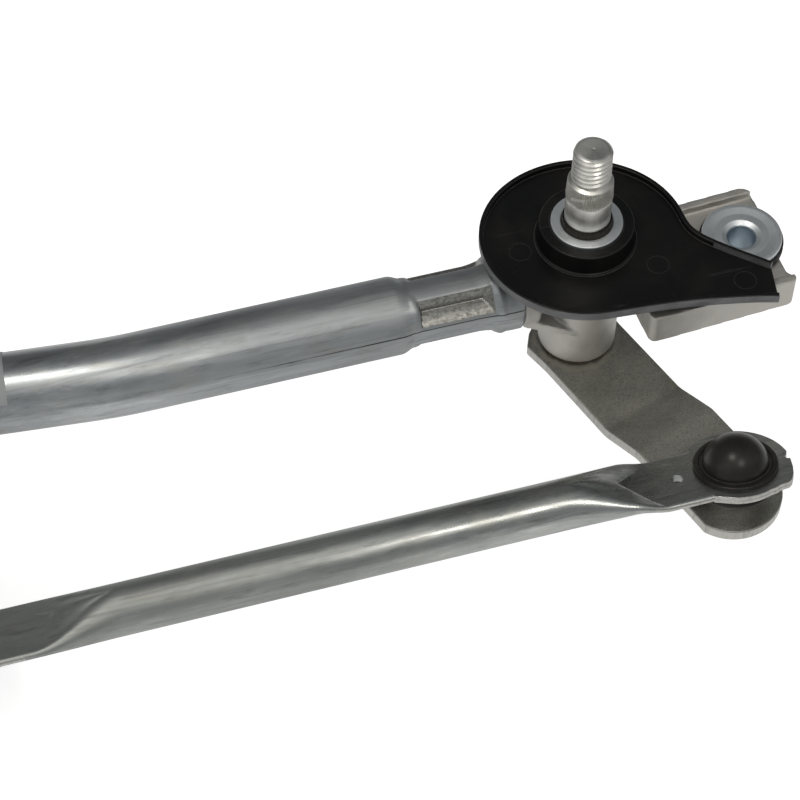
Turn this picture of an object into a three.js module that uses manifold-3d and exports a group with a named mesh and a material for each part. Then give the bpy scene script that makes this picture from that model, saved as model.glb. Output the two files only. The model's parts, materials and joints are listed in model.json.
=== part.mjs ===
// Windshield wiper assembly: a bent frame tube carries two pivot housings and a motor plate. The motor
// swings a crank, and two drive links swing the crank arm under each pivot shaft by the same angle.
// Millimetres, +Z up along the pivot shafts. The design plane z = 0 is the right barrel's lower face;
// the whole group is shifted down at the end, so that the origin is the tip of the right pivot shaft.
import * as THREE from 'three';
import { ConvexGeometry } from 'three/addons/geometries/ConvexGeometry.js';
import { mergeVertices } from 'three/addons/utils/BufferGeometryUtils.js';
import Module from 'manifold-3d';

const wasm = await Module();
wasm.setup();

// ---- driving dimensions ----
const FIT = 0.1; // gap between two pieces that touch
const RUNNING = 0.15; // gap between the corners of a faceted shaft and its bush
const ROUND = 16; // facets of a round piece
const FINE_ROUND = 24; // facets of a wide one
const BALL_ROUND = 14; // facets of a ball or its socket

const LINK_LENGTH = 201.5; // ball centre to ball centre, right link
const CRANK_RADIUS = 63.2; // shaft axis to ball centre, all three cranks
const CRANK_REST = THREE.MathUtils.degToRad(-71); // direction of every crank at rest
const LINK_ROLL = THREE.MathUtils.degToRad(-17); // the right link lies rolled on its two balls

const TUBE = { radius: 10, wall: 2.4, z: 24, bendX: -121, bendLength: 12 };
const TUBE_BEND = THREE.MathUtils.degToRad(5.5);
const TUBE_END = 18; // pivot axis to the end of the frame tube
const CRIMP = { start: 23, length: 20, width: 7.5, floorRadius: 8 };

const MOTOR_AXIS = new THREE.Vector2(-LINK_LENGTH, 0);
const LEFT_AXIS = new THREE.Vector2(-470, (470 + TUBE.bendX) * Math.tan(TUBE_BEND));

const SHAFT = { radius: 5.75, tipZ: 71.25, threadRadius: 4.9, knurlZ: 55.9, threadZ: 61.6 };
const BARREL = { radius: 10.15, bore: 7.5, top: 43.2 };
const COVER = { radius: 25.7, floorZ: 37.4, floor: 1.2, rimTop: 40.2, rim: 1.2, collarTop: 44.4 };
const EAR = { x: 40, y: -5.9, top: 31.5, floorTop: 30.3, floorBottom: 27.4, bottom: 22, hole: 7.2 };
const EAR_TRAY = { x: 31, y: -6.8, skew: 3.5, left: -19, right: 18.6, halfWidth: 16.5, wall: 2.6 };
const SLEEVE = { hole: 3.4, radius: 5, flange: 10.2, flangeThick: 1.2 };

const CRANK = { thick: 3.5, halfWidth: 12, topAtPivot: -1.5, topAtBall: 3.2, joggle: [29.5, 40] };
const BALL = { radius: 6.5, height: 10.2 }; // height: ball centre above the crank face it stands on
const BALL_Z = CRANK.topAtBall + BALL.height;
const LOWER_BALL_Z = CRANK.topAtBall - CRANK.thick - BALL.height;

const ROD = { radius: 6.35, wall: 1.2, flatStart: 28.4, roundStart: 44, flatHalf: 9.8, plate: 2, lift: 1.6 };
const SOCKET = { dome: 8.35, cavity: 6.85, flange: 10.45, neck: 7.3, headRadius: 13.3 };

const MOTOR = { plateTop: -21.9, plateThick: 2.1, housing: 35, housingBottom: -60, wall: 3 };
const WORM = { offset: 31, z: -47 }; // worm axis from the output axis
const YOKE = { radius: 22.6, wall: 1.4, start: 40, length: 92 };
const CORE_RADIUS = 16.5; // armature laminations

// ---- finishes ----
const FINISH = {
  galvanised: [0xa9adad, 0.42, 0.9],
  dieCast: [0xb3aea2, 0.6, 0.6],
  machined: [0xb9b8b2, 0.35, 1],
  pressedSteel: [0x8d8c84, 0.5, 0.85],
  zinc: [0xb5bab8, 0.4, 0.8],
  bronze: [0x9a7447, 0.5, 0.9],
  blackPlastic: [0x0c0c0d, 0.4, 0],
  rubber: [0x101010, 0.85, 0],
  grease: [0x3a3529, 0.5, 0],
  label: [0xc9cccd, 0.45, 0.2],
  paintedCan: [0x1a1b1d, 0.45, 0.3],
  ferrite: [0x2b2b2e, 0.7, 0.1],
  gearPlastic: [0xd8d2c0, 0.5, 0],
  armature: [0x6b5a4c, 0.5, 0.7],
};

// ---- solid helpers ----
// A closed three.js geometry as a manifold solid, with its faces pointing out.
function toSolid(geometry) {
  const bare = geometry.clone();
  bare.deleteAttribute('normal');
  bare.deleteAttribute('uv');
  const merged = mergeVertices(bare, 1e-4);
  const corners = merged.index.array;
  const kept = [];
  for (let i = 0; i < corners.length; i += 3) {
    const [a, b, c] = corners.slice(i, i + 3);
    if (a !== b && b !== c && c !== a) kept.push(a, b, c);
  }
  const make = (triangles) => new wasm.Manifold(new wasm.Mesh({
    numProp: 3,
    vertProperties: new Float32Array(merged.attributes.position.array),
    triVerts: new Uint32Array(triangles),
  }));
  const solid = make(kept);
  return solid.volume() > 0 ? solid : make(kept.reverse());
}

function join(first, ...others) {
  return others.reduce((sum, solid) => sum.add(solid), first);
}

function cut(first, ...others) {
  return others.reduce((rest, solid) => rest.subtract(solid), first);
}

// A solid turned about Z from a profile of [radius, z] points.
function turned(profile, segments = ROUND) {
  const points = profile.map(([radius, z]) => new THREE.Vector2(radius, z));
  return toSolid(new THREE.LatheGeometry(points, segments).rotateX(Math.PI / 2));
}

function disc(radius, bottom, top, segments = ROUND) {
  return turned([[0, bottom], [radius, bottom], [radius, top], [0, top]], segments);
}

function ring(inner, outer, bottom, top, segments = ROUND) {
  return turned([[inner, bottom], [outer, bottom], [outer, top], [inner, top], [inner, bottom]], segments);
}

// A flat outline pulled up from bottom to top.
function prism(shape, bottom, top, curveSegments = 8) {
  const options = { depth: top - bottom, bevelEnabled: false, curveSegments };
  return toSolid(new THREE.ExtrudeGeometry(shape, options).translate(0, 0, bottom));
}

function polygon(points) {
  return new THREE.Shape(points.map(([x, y]) => new THREE.Vector2(x, y)));
}

function block(low, high) {
  const size = low.map((value, i) => high[i] - value);
  const centre = low.map((value, i) => (high[i] + value) / 2);
  return toSolid(new THREE.BoxGeometry(...size).translate(...centre));
}

function roundedRect(x0, y0, x1, y1, radius) {
  const shape = new THREE.Shape();
  shape.moveTo(x0 + radius, y0);
  shape.lineTo(x1 - radius, y0);
  shape.absarc(x1 - radius, y0 + radius, radius, -Math.PI / 2, 0);
  shape.absarc(x1 - radius, y1 - radius, radius, 0, Math.PI / 2);
  shape.absarc(x0 + radius, y1 - radius, radius, Math.PI / 2, Math.PI);
  shape.absarc(x0 + radius, y0 + radius, radius, Math.PI, 1.5 * Math.PI);
  return shape;
}

// A round bar along X between two places.
function barX(radius, x0, x1, y, z, segments = ROUND) {
  const geometry = new THREE.CylinderGeometry(radius, radius, x1 - x0, segments);
  return toSolid(geometry.rotateZ(-Math.PI / 2).translate((x0 + x1) / 2, y, z));
}

// A path sampled only at its own stations, so that straight runs get no extra rings.
class StationPath extends THREE.Curve {
  constructor(stations) {
    super();
    this.stations = stations;
  }

  getPoint(t) {
    const place = t * (this.stations.length - 1);
    const index = Math.min(Math.floor(place), this.stations.length - 2);
    return this.stations[index].clone().lerp(this.stations[index + 1], place - index);
  }

  getPointAt(u) {
    return this.getPoint(u);
  }

  getTangentAt(u) {
    return this.getTangent(u);
  }
}

function sweptBar(radius, stations, curveSegments = ROUND / 2) {
  const circle = new THREE.Shape().absarc(0, 0, radius, 0, 2 * Math.PI);
  const extrudePath = new StationPath(stations);
  const options = { steps: stations.length - 1, extrudePath, curveSegments };
  return toSolid(new THREE.ExtrudeGeometry(circle, options));
}

// ---- placing ----
const group = new THREE.Group();

function place(parent, name, solid, finish) {
  const { vertProperties, triVerts } = solid.getMesh();
  const geometry = new THREE.BufferGeometry();
  geometry.setAttribute('position', new THREE.BufferAttribute(new Float32Array(vertProperties), 3));
  geometry.setIndex(Array.from(triVerts));
  const [color, roughness, metalness] = FINISH[finish];
  const mesh = new THREE.Mesh(geometry, new THREE.MeshStandardMaterial({ color, roughness, metalness }));
  mesh.name = name;
  parent.add(mesh);
  return mesh;
}

function subgroup(x, y, z = 0, turnZ = 0, rollX = 0) {
  const holder = new THREE.Group();
  holder.rotation.order = 'ZYX';
  holder.rotation.set(rollX, 0, turnZ);
  holder.position.set(x, y, z);
  group.add(holder);
  return holder;
}

// ---- frame tube ----
// Stations of the tube's centre line, from the right end to the left one, each end moved out by extra.
function tubeStations(extra) {
  const along = new THREE.Vector3(-Math.cos(TUBE_BEND), Math.sin(TUBE_BEND), 0);
  const bend = new THREE.Vector3(TUBE.bendX, 0, TUBE.z);
  const half = TUBE.bendLength / 2;
  const bendIn = bend.clone().setX(TUBE.bendX + half);
  const bendOut = bend.clone().addScaledVector(along, half);
  const curve = new THREE.QuadraticBezierCurve3(bendIn, bend, bendOut);
  const rightEnd = new THREE.Vector3(-TUBE_END + extra, 0, TUBE.z);
  const leftEnd = new THREE.Vector3(LEFT_AXIS.x, LEFT_AXIS.y, TUBE.z);
  leftEnd.addScaledVector(along, extra - TUBE_END);
  return [rightEnd, ...curve.getPoints(3), leftEnd];
}

// The pockets pressed through the tube wall onto one tenon, in that housing's frame.
function crimpCutters() {
  const depth = 4;
  return [1, 3, 5, 7].map((eighth) => {
    const pocket = new THREE.BoxGeometry(CRIMP.length, CRIMP.width, depth);
    pocket.translate(0, 0, CRIMP.floorRadius + depth / 2);
    pocket.rotateX(eighth * Math.PI / 4);
    return pocket.translate(-CRIMP.start - CRIMP.length / 2, 0, TUBE.z);
  });
}

function frameTube() {
  const outer = sweptBar(TUBE.radius, tubeStations(0));
  const inner = sweptBar(TUBE.radius - TUBE.wall, tubeStations(1));
  const right = crimpCutters();
  const left = crimpCutters().map((cutter) => cutter.rotateZ(Math.PI - TUBE_BEND)
    .translate(LEFT_AXIS.x, LEFT_AXIS.y, 0));
  return cut(outer, inner, ...[...right, ...left].map(toSolid));
}

// A thin blank sticker wrapped over the upper front of the tube, left of the bend.
function blankLabel() {
  const [start, length, thick, edge] = [-150, 30, 0.3, 3];
  const [front, rear] = [-Math.PI + 0.96, -Math.PI - 1.05];
  const along = new THREE.Vector3(-Math.cos(TUBE_BEND), Math.sin(TUBE_BEND), 0);
  const arc = new THREE.Shape();
  const inner = TUBE.radius + FIT;
  arc.absarc(0, 0, inner + thick, rear, front);
  arc.absarc(0, 0, inner, front, rear, true);
  const options = { depth: length, bevelEnabled: false, curveSegments: 10 };
  const wrap = new THREE.ExtrudeGeometry(arc, options).translate(0, 0, edge - length);
  wrap.rotateY(Math.PI / 2).rotateZ(-TUBE_BEND);
  const distance = (TUBE.bendX - start) / Math.cos(TUBE_BEND);
  return toSolid(wrap.translate(TUBE.bendX + along.x * distance, along.y * distance, TUBE.z));
}

// ---- pivot housing and what it holds, in a frame with the pivot axis on Z and the tube along -X ----
function pivotHousing(mirror) {
  const m = (y) => mirror * y;
  const barrel = disc(BARREL.radius, 0, BARREL.top);
  const root = polygon([[-17.9, 13.5], [-17.9, 32.5], [-8, 33.5], [0, 33.5], [0, 12], [-8, 12]]);
  const rootBlock = toSolid(new THREE.ExtrudeGeometry(root, { depth: 17, bevelEnabled: false })
    .rotateX(Math.PI / 2).translate(0, 8.5, 0));
  const tenon = barX(TUBE.radius - TUBE.wall - 0.15, -46, -17, 0, TUBE.z);
  const pocketSides = [1, -1].map((side) => {
    const ys = [side * 4.5, side * 9].sort((a, b) => a - b);
    return block([-16.3, ys[0], 16.5], [-11.3, ys[1], 29.5]);
  });
  const { left, right, halfWidth, wall } = EAR_TRAY;
  const inner = halfWidth - wall;
  const endWall = 0.9;
  const trays = [
    prism(roundedRect(left, -halfWidth, right, halfWidth, 5), EAR.bottom, EAR.top, 4),
    prism(roundedRect(left + wall, -inner, right - endWall, inner, 3), EAR.bottom - 1, EAR.floorBottom, 3),
    prism(roundedRect(left + 3, -inner, right + 9, inner, 3), EAR.floorTop, EAR.top + 1, 3),
  ];
  const [ear, under, above] = trays.map((solid) => solid.rotate([0, 0, m(EAR_TRAY.skew)])
    .translate([EAR_TRAY.x, m(EAR_TRAY.y), 0]));
  const web = polygon([[0, m(-7)], [16, m(-9)], [16, m(7)], [0, m(7)]]);
  const hole = disc(EAR.hole, 20, 33).translate([EAR.x, m(EAR.y), 0]);
  const body = join(barrel, rootBlock, tenon, ear, prism(web, EAR.bottom, EAR.top));
  return cut(body, ...pocketSides, under, above, hole, disc(BARREL.bore, -1, BARREL.top + 1));
}

// Drip cover: a teardrop tray round the barrel with a low rim, open at the end of its tail.
function coverOutline(inset, mirror) {
  const m = (y) => mirror * y;
  const radius = COVER.radius - inset;
  const open = inset > 0 ? 6 : 0;
  const tailFar = [41.5 + 0.73 * open - 0.7 * inset, -21.1 - 0.55 * open - 0.7 * inset];
  const near = [[39.2 + 0.98 * open, -32 - 0.2 * open], [28.6, -29.4], [17.4, -27.3], [8.8, -26.4]];
  const start = THREE.MathUtils.degToRad(-92);
  const end = THREE.MathUtils.degToRad(2);
  const shape = new THREE.Shape();
  near.forEach(([x, y]) => shape.lineTo(x, m(y + inset)));
  shape.lineTo(radius * Math.cos(start), m(radius * Math.sin(start)));
  const steps = 18;
  for (let i = 1; i <= steps; i += 1) {
    const angle = start - (2 * Math.PI + start - end) * (i / steps);
    shape.lineTo(radius * Math.cos(angle), m(radius * Math.sin(angle)));
  }
  shape.quadraticCurveTo(27.5 - inset, m(-8 - inset), 31.5 - inset, m(-12 - inset));
  shape.lineTo(tailFar[0], m(tailFar[1]));
  return shape;
}

function pivotCover(mirror) {
  const floorTop = COVER.floorZ + COVER.floor;
  const tray = prism(coverOutline(0, mirror), COVER.floorZ, COVER.rimTop, 4);
  const inside = prism(coverOutline(COVER.rim, mirror), floorTop, COVER.rimTop + 1, 4);
  const collar = disc(11.8, COVER.floorZ, COVER.collarTop);
  const bore = disc(BARREL.radius + 0.3, COVER.floorZ - 1, BARREL.top + FIT);
  const mouth = disc(9.25, BARREL.top, COVER.collarTop + 1);
  return cut(join(cut(tray, inside), collar), bore, mouth);
}

function mountSleeve(bottom, top) {
  const under = top - SLEEVE.flangeThick;
  return turned([[SLEEVE.hole, bottom], [SLEEVE.radius, bottom], [SLEEVE.radius, under],
    [SLEEVE.flange, under], [SLEEVE.flange, top], [SLEEVE.hole, top], [SLEEVE.hole, bottom]]);
}

// Rubber grommet held by a hole of hole radius between floorBottom and floorTop.
function grommet(hole, floorBottom, floorTop, bottom, top) {
  const bore = SLEEVE.radius + FIT;
  const neck = hole - FIT;
  const snap = hole + 1;
  return turned([[bore, bottom], [hole, bottom], [snap, floorBottom - FIT], [neck, floorBottom - FIT],
    [neck, floorTop + FIT], [10.6, floorTop + FIT], [9.9, top], [bore, top], [bore, bottom]]);
}

function pivotShaft() {
  const rivet = CRANK.topAtPivot - CRANK.thick - FIT;
  const shank = 4.95;
  const shoulder = CRANK.topAtPivot + FIT;
  return turned([[0, rivet - 1], [5.2, rivet - 1], [5.9, rivet], [shank, rivet], [shank, shoulder],
    [SHAFT.radius, shoulder], [SHAFT.radius, SHAFT.knurlZ], [5.45, SHAFT.threadZ - 0.8],
    [SHAFT.threadRadius, SHAFT.threadZ], [SHAFT.threadRadius, SHAFT.tipZ - 0.9], [4.1, SHAFT.tipZ],
    [0, SHAFT.tipZ]]);
}

// Flat outline of a crank arm: the shaft end on the origin, the ball end along +X.
function crankOutline() {
  const end = 12.9;
  const side = Math.asin(CRANK.halfWidth / end);
  const shape = new THREE.Shape();
  shape.absarc(0, 0, end, side, 2 * Math.PI - side);
  shape.absarc(CRANK_RADIUS, 0, end, -side, side);
  return shape;
}

// Pressed crank arm, stepped up from its shaft end to its ball end when joggled.
function crankArm(shaftHole, joggled) {
  const [start, end] = CRANK.joggle;
  const high = CRANK.topAtBall;
  const low = joggled ? CRANK.topAtPivot : high;
  const reach = 20;
  const ball = CRANK_RADIUS + reach;
  const side = polygon([[-reach, low], [start, low], [end, high], [ball, high],
    [ball, high - CRANK.thick], [end, high - CRANK.thick], [start, low - CRANK.thick],
    [-reach, low - CRANK.thick]]);
  const band = toSolid(new THREE.ExtrudeGeometry(side, { depth: 2 * reach, bevelEnabled: false })
    .rotateX(Math.PI / 2).translate(0, reach, 0));
  const outline = prism(crankOutline(), -10, 10, 6);
  const ballHole = disc(4, -10, 10, 20).translate([CRANK_RADIUS, 0, 0]);
  return cut(band.intersect(outline), disc(shaftHole, -10, 10), ballHole);
}

// One side of a ball stud, from the crank face it stands on to the top of the ball.
function ballProfile(face) {
  const centre = face + BALL.height;
  const neck = 3.75;
  const neckAngle = Math.asin(neck / BALL.radius);
  const profile = [[6.3, face + FIT], [6.3, face + 1.8], [neck, face + 2.2]];
  const steps = 6;
  for (let i = 0; i < steps; i += 1) {
    const angle = Math.PI - neckAngle - (Math.PI - neckAngle) * (i / steps);
    profile.push([BALL.radius * Math.sin(angle), centre + BALL.radius * Math.cos(angle)]);
  }
  return [...profile, [0, centre + BALL.radius]];
}

const SHANK = 3.85;

function ballStud() {
  const back = -CRANK.thick;
  const rivet = [[0, back - 1.6], [4.6, back - 1.6], [5.3, back - FIT], [SHANK, back - FIT], [SHANK, FIT]];
  return turned([...rivet, ...ballProfile(0)], BALL_ROUND);
}

function doubleBallStud() {
  const lower = ballProfile(0).map(([radius, z]) => [radius, -CRANK.thick - z]).reverse();
  return turned([...lower, [SHANK, -CRANK.thick - FIT], [SHANK, FIT], ...ballProfile(0)], BALL_ROUND);
}

// The pieces of one pivot. mirror is -1 for the left hand.
function addPivot(side, axis, turn, mirror) {
  const here = subgroup(axis.x, axis.y, 0, turn);
  const earY = mirror * EAR.y;
  place(here, `${side}_pivot_housing`, pivotHousing(mirror), 'dieCast');
  const bush = [SHAFT.radius + RUNNING, BARREL.bore - FIT];
  place(here, `${side}_upper_bush`, ring(...bush, 27, BARREL.top - FIT), 'bronze');
  place(here, `${side}_lower_bush`, ring(...bush, 0.2, 16), 'bronze');
  place(here, `${side}_pivot_cover`, pivotCover(mirror), 'blackPlastic');
  const rubber = grommet(EAR.hole, EAR.floorBottom, EAR.floorTop, 24.4, 32.3);
  place(here, `${side}_grommet`, rubber.translate([EAR.x, earY, 0]), 'rubber');
  const sleeve = mountSleeve(EAR.bottom - 0.6, 33.6);
  place(here, `${side}_mount_sleeve`, sleeve.translate([EAR.x, earY, 0]), 'zinc');
  place(here, `${side}_retaining_washer`, ring(6.5, 9, BARREL.top + FIT, 45), 'zinc');
  const lip = [[5.95, 43.3], [6.4, 43.3], [6.4, 45.1], [6.1, 47.1], [5.95, 47.1], [5.95, 43.3]];
  place(here, `${side}_seal_ring`, turned(lip), 'rubber');
  place(here, `${side}_thrust_washer`, ring(6, 9.6, CRANK.topAtPivot + 0.3, -FIT), 'grease');

  const crank = subgroup(axis.x, axis.y, 0, CRANK_REST);
  place(crank, `${side}_pivot_shaft`, pivotShaft(), 'machined');
  place(crank, `${side}_crank_arm`, crankArm(5.1, true), 'pressedSteel');
  const stud = place(crank, `${side}_ball_stud`, ballStud(), 'machined');
  const up = mirror > 0;
  stud.position.set(CRANK_RADIUS, 0, up ? CRANK.topAtBall : CRANK.topAtBall - CRANK.thick);
  if (!up) stud.rotation.x = Math.PI;
}

// ---- drive links, in a frame with one ball centre on the origin and the other along +X ----
// The solid of a flattened head round the ball at x, whose rod leaves along direction.
function linkHead(x, direction) {
  const flat = ROD.flatHalf;
  const strip = [[x, -flat], [x + direction * ROD.flatStart, -flat], [x + direction * ROD.flatStart, flat],
    [x, flat]];
  const round = disc(SOCKET.headRadius, -ROD.plate, 0).translate([x, 0, 0]);
  const tip = x - direction * SOCKET.headRadius;
  const notch = block([tip - 1.1, -2, -5], [tip + 1.1, -0.6, 1]);
  return cut(join(prism(polygon(strip), -ROD.plate, 0), round), notch);
}

function circlePoints(radius, x, z, count) {
  return Array.from({ length: count }, (_, i) => {
    const angle = 2 * Math.PI * (i / count);
    return new THREE.Vector3(x, radius * Math.cos(angle), z + radius * Math.sin(angle));
  });
}

function linkTransition(x, direction) {
  const mid = -ROD.plate / 2;
  const axisZ = mid + ROD.lift;
  const roundX = x + direction * ROD.roundStart;
  const flatX = x + direction * (ROD.flatStart - 1);
  const corners = [[-1, -1], [1, -1], [1, 1], [-1, 1]].map(([sideY, sideZ]) => (
    new THREE.Vector3(flatX, sideY * ROD.flatHalf, mid + sideZ * ROD.plate / 2)));
  return toSolid(new ConvexGeometry([...circlePoints(ROD.radius, roundX, axisZ, ROUND), ...corners]));
}

function linkRod(length) {
  const mid = -ROD.plate / 2;
  const axisZ = mid + ROD.lift;
  const far = length - ROD.roundStart;
  const bar = barX(ROD.radius, ROD.roundStart, far, 0, axisZ);
  const near = [linkTransition(0, 1), linkHead(0, 1)];
  const solid = join(bar, ...near, linkTransition(length, -1), linkHead(length, -1));
  const hollow = barX(ROD.radius - ROD.wall, ROD.roundStart, far, 0, axisZ);
  const seamStart = 15;
  const seam = block([seamStart, -3, mid - 0.2], [length - seamStart, 3, mid + 0.2]);
  const smallHoles = [seamStart, length - seamStart].map((x) => disc(1.25, -4, 2, 8).translate([x, 0, 0]));
  const ballHoles = [0, length].map((x) => disc(SOCKET.neck + 0.15, -4, 2).translate([x, 0, 0]));
  return cut(solid, hollow, seam, ...smallHoles, ...ballHoles);
}

// Moulded ball socket: a dome with a flange above the link plate, and a flared skirt below it.
function ballSocket() {
  const arc = (radius, from, to, steps) => Array.from({ length: steps + 1 }, (_, i) => {
    const angle = THREE.MathUtils.degToRad(from + (to - from) * (i / steps));
    return [radius * Math.cos(angle), radius * Math.sin(angle)];
  });
  const inside = arc(SOCKET.cavity, 90, -31.7, 6);
  inside[0] = [0, SOCKET.cavity];
  const dome = arc(SOCKET.dome, 6, 90, 4);
  dome[dome.length - 1] = [0, SOCKET.dome];
  const under = -ROD.plate - FIT;
  const boot = [[7.6, -3.6], [9.2, -5.6], [10, -5.6], [10, -4.9], [8.7, under - 0.5]];
  const skirt = [...boot, [8.2, under], [SOCKET.neck, under], [SOCKET.neck, FIT]];
  const flange = [[SOCKET.flange, FIT], [SOCKET.flange, 1.3], [9.4, 1.3]];
  return turned([...inside, ...skirt, ...flange, ...dome], BALL_ROUND);
}

function addLink(name, start, length, turn, roll) {
  const here = subgroup(start.x, start.y, start.z, turn, roll);
  place(here, `${name}_rod`, linkRod(length), 'galvanised');
  place(here, `${name}_motor_end_socket`, ballSocket(), 'blackPlastic');
  place(here, `${name}_pivot_end_socket`, ballSocket(), 'blackPlastic').position.x = length;
}

function ballPlace(axis, z) {
  const x = axis.x + CRANK_RADIUS * Math.cos(CRANK_REST);
  return new THREE.Vector3(x, axis.y + CRANK_RADIUS * Math.sin(CRANK_REST), z);
}

// ---- motor, in a frame with the output axis on Z; the worm and yoke run along -X ----
const PLATE_BOTTOM = MOTOR.plateTop - MOTOR.plateThick;
const CASTING_TOP = PLATE_BOTTOM - FIT;
const REAR_MOUNT = { y: 56, sleeveBottom: PLATE_BOTTOM - 6, sleeveTop: MOTOR.plateTop + 3.3 };
const SCREW_CIRCLE = 28;
const SCREW_ANGLES = [90, 210, 330].map(THREE.MathUtils.degToRad);

function screwPlaces() {
  return SCREW_ANGLES.map((angle) => [SCREW_CIRCLE * Math.cos(angle), SCREW_CIRCLE * Math.sin(angle), 0]);
}

function plateOutline() {
  const shape = new THREE.Shape();
  shape.moveTo(-37, -20);
  shape.quadraticCurveTo(-37, -29, -28, -29);
  shape.lineTo(28, -29);
  shape.quadraticCurveTo(35, -29, 35, -20);
  shape.lineTo(35, 24);
  shape.quadraticCurveTo(35, 32, 24, 38);
  shape.absarc(0, REAR_MOUNT.y, 15, -0.35, Math.PI + 0.35);
  shape.quadraticCurveTo(-24, 38, -37, 28);
  return shape;
}

// Motor plate with two cradles standing up to the underside of the frame tube.
function motorPlate() {
  const plate = prism(plateOutline(), PLATE_BOTTOM, MOTOR.plateTop, 4);
  const webThick = 2.5;
  const webs = [-28, 28].map((x) => block([x - webThick / 2, -4, PLATE_BOTTOM],
    [x + webThick / 2, 22, TUBE.z - 3]));
  const clearance = tubeStations(1).map((station) => station.sub(new THREE.Vector3(MOTOR_AXIS.x, 0, 0)));
  const tube = sweptBar(TUBE.radius + 0.2, clearance);
  const boss = disc(12.4, -30, -15);
  const holes = screwPlaces().map((at) => disc(3.3, -30, -15, 12).translate(at));
  const mountHole = disc(EAR.hole, -30, -15).translate([0, REAR_MOUNT.y, 0]);
  return cut(join(plate, ...webs), tube, boss, mountHole, ...holes);
}

function gearHousing() {
  const inner = MOTOR.housing - MOTOR.wall;
  const cup = disc(MOTOR.housing, MOTOR.housingBottom, CASTING_TOP, FINE_ROUND);
  const tower = disc(12, CASTING_TOP - 1, -8);
  const wormBody = barX(11, -YOKE.start, 24, WORM.offset, WORM.z);
  const flange = barX(YOKE.radius, -YOKE.start, -YOKE.start + 4, WORM.offset, WORM.z, FINE_ROUND);
  const hollow = disc(inner, MOTOR.housingBottom - 1, CASTING_TOP - MOTOR.wall - 2, FINE_ROUND);
  const wormBore = barX(8, -YOKE.start - 1, 20, WORM.offset, WORM.z);
  const bushBore = disc(7.2, -40, 0);
  const screws = screwPlaces().map((at) => disc(2.9, CASTING_TOP - 12, CASTING_TOP + 1, 12).translate(at));
  const bosses = screwPlaces().map((at) => disc(5, CASTING_TOP - 14, CASTING_TOP - 2, 12).translate(at));
  const shell = cut(join(cup, tower, wormBody, flange), hollow);
  const inside = disc(inner, MOTOR.housingBottom + 1, CASTING_TOP - 2, FINE_ROUND);
  return cut(join(shell, ...bosses.map((boss) => boss.intersect(inside))), wormBore, bushBore, ...screws);
}

function gearCover() {
  const top = MOTOR.housingBottom - FIT;
  return join(disc(MOTOR.housing, top - 2, top, FINE_ROUND), disc(9, top - 4.5, top - 1, 20));
}

function outputGear() {
  const [teeth, root, tip] = [24, 24.6, 26.4];
  const shape = new THREE.Shape();
  for (let i = 0; i < teeth; i += 1) {
    [[0, root], [0.35, root], [0.5, tip], [0.85, tip]].forEach(([step, radius]) => {
      const angle = 2 * Math.PI * ((i + step) / teeth);
      shape.lineTo(radius * Math.cos(angle), radius * Math.sin(angle));
    });
  }
  const hub = disc(11, WORM.z - 6, WORM.z + 9);
  return cut(join(prism(shape, WORM.z - 5, WORM.z + 5), hub), disc(5.1, -60, -30));
}

function outputShaft() {
  const crankTop = CRANK.topAtBall;
  return turned([[0, -55], [5, -55], [5, -0.4], [4.6, -0.4], [4.6, crankTop], [4, crankTop], [4, 10.4],
    [3.5, 11], [0, 11]]);
}

function hexNut(bottom, top, acrossFlats, hole) {
  const corner = acrossFlats / Math.sqrt(3);
  const hex = new THREE.CylinderGeometry(corner, corner, top - bottom, 6);
  const body = toSolid(hex.rotateX(Math.PI / 2).translate(0, 0, (top + bottom) / 2));
  return cut(body, disc(hole, bottom - 1, top + 1));
}

function motorScrew() {
  const top = MOTOR.plateTop + FIT;
  const head = new THREE.CylinderGeometry(5.2, 5.2, 3.4, 6).rotateX(Math.PI / 2).translate(0, 0, top + 1.7);
  return join(toSolid(head), disc(2.75, CASTING_TOP - 10, top + 1, 12));
}

// Pieces on the worm axis are turned about Z, then laid along -X from the gear housing's flange.
function alongWorm(solid) {
  return solid.rotate([0, -90, 0]).translate([-YOKE.start, WORM.offset, WORM.z]);
}

function motorYoke() {
  const { radius, wall, length } = YOKE;
  return turned([[0, length], [0, length - wall], [radius - wall, length - wall], [radius - wall, FIT],
    [radius, FIT], [radius, length - 5], [radius - 5, length], [0, length]], FINE_ROUND);
}

function magnet(side) {
  const [inner, outer, spread] = [CORE_RADIUS + 1, YOKE.radius - YOKE.wall - 0.3, 1.1];
  const shape = new THREE.Shape();
  shape.absarc(0, 0, outer, -spread, spread);
  shape.absarc(0, 0, inner, spread, -spread, true);
  const geometry = new THREE.ExtrudeGeometry(shape, { depth: 48, bevelEnabled: false, curveSegments: 10 });
  return toSolid(geometry.rotateZ(side > 0 ? 0 : Math.PI).translate(0, 0, 32));
}

function armature() {
  return turned([[0, -56], [4.2, -56], [4.2, -8], [3.9, -8], [3.9, 14], [11, 14], [11, 24], [6, 24], [6, 30],
    [CORE_RADIUS, 30], [CORE_RADIUS, 82], [4, 82], [4, 89], [0, 89]]);
}

function brushHolder() {
  const plate = ring(8, YOKE.radius - YOKE.wall - 0.4, 3, 7);
  const brushes = [11.2, -17.2].map((x) => block([x, -3, 6], [x + 6, 3, 20]));
  return join(plate, ...brushes);
}

function connector() {
  const body = block([-24, -50, -50], [-4, -33, -38]);
  const mouth = block([-22, -51, -48.3], [-6, -39, -39.7]);
  const housingWall = disc(MOTOR.housing + 0.3, -70, 0, FINE_ROUND);
  return cut(body, mouth, housingWall);
}

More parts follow.
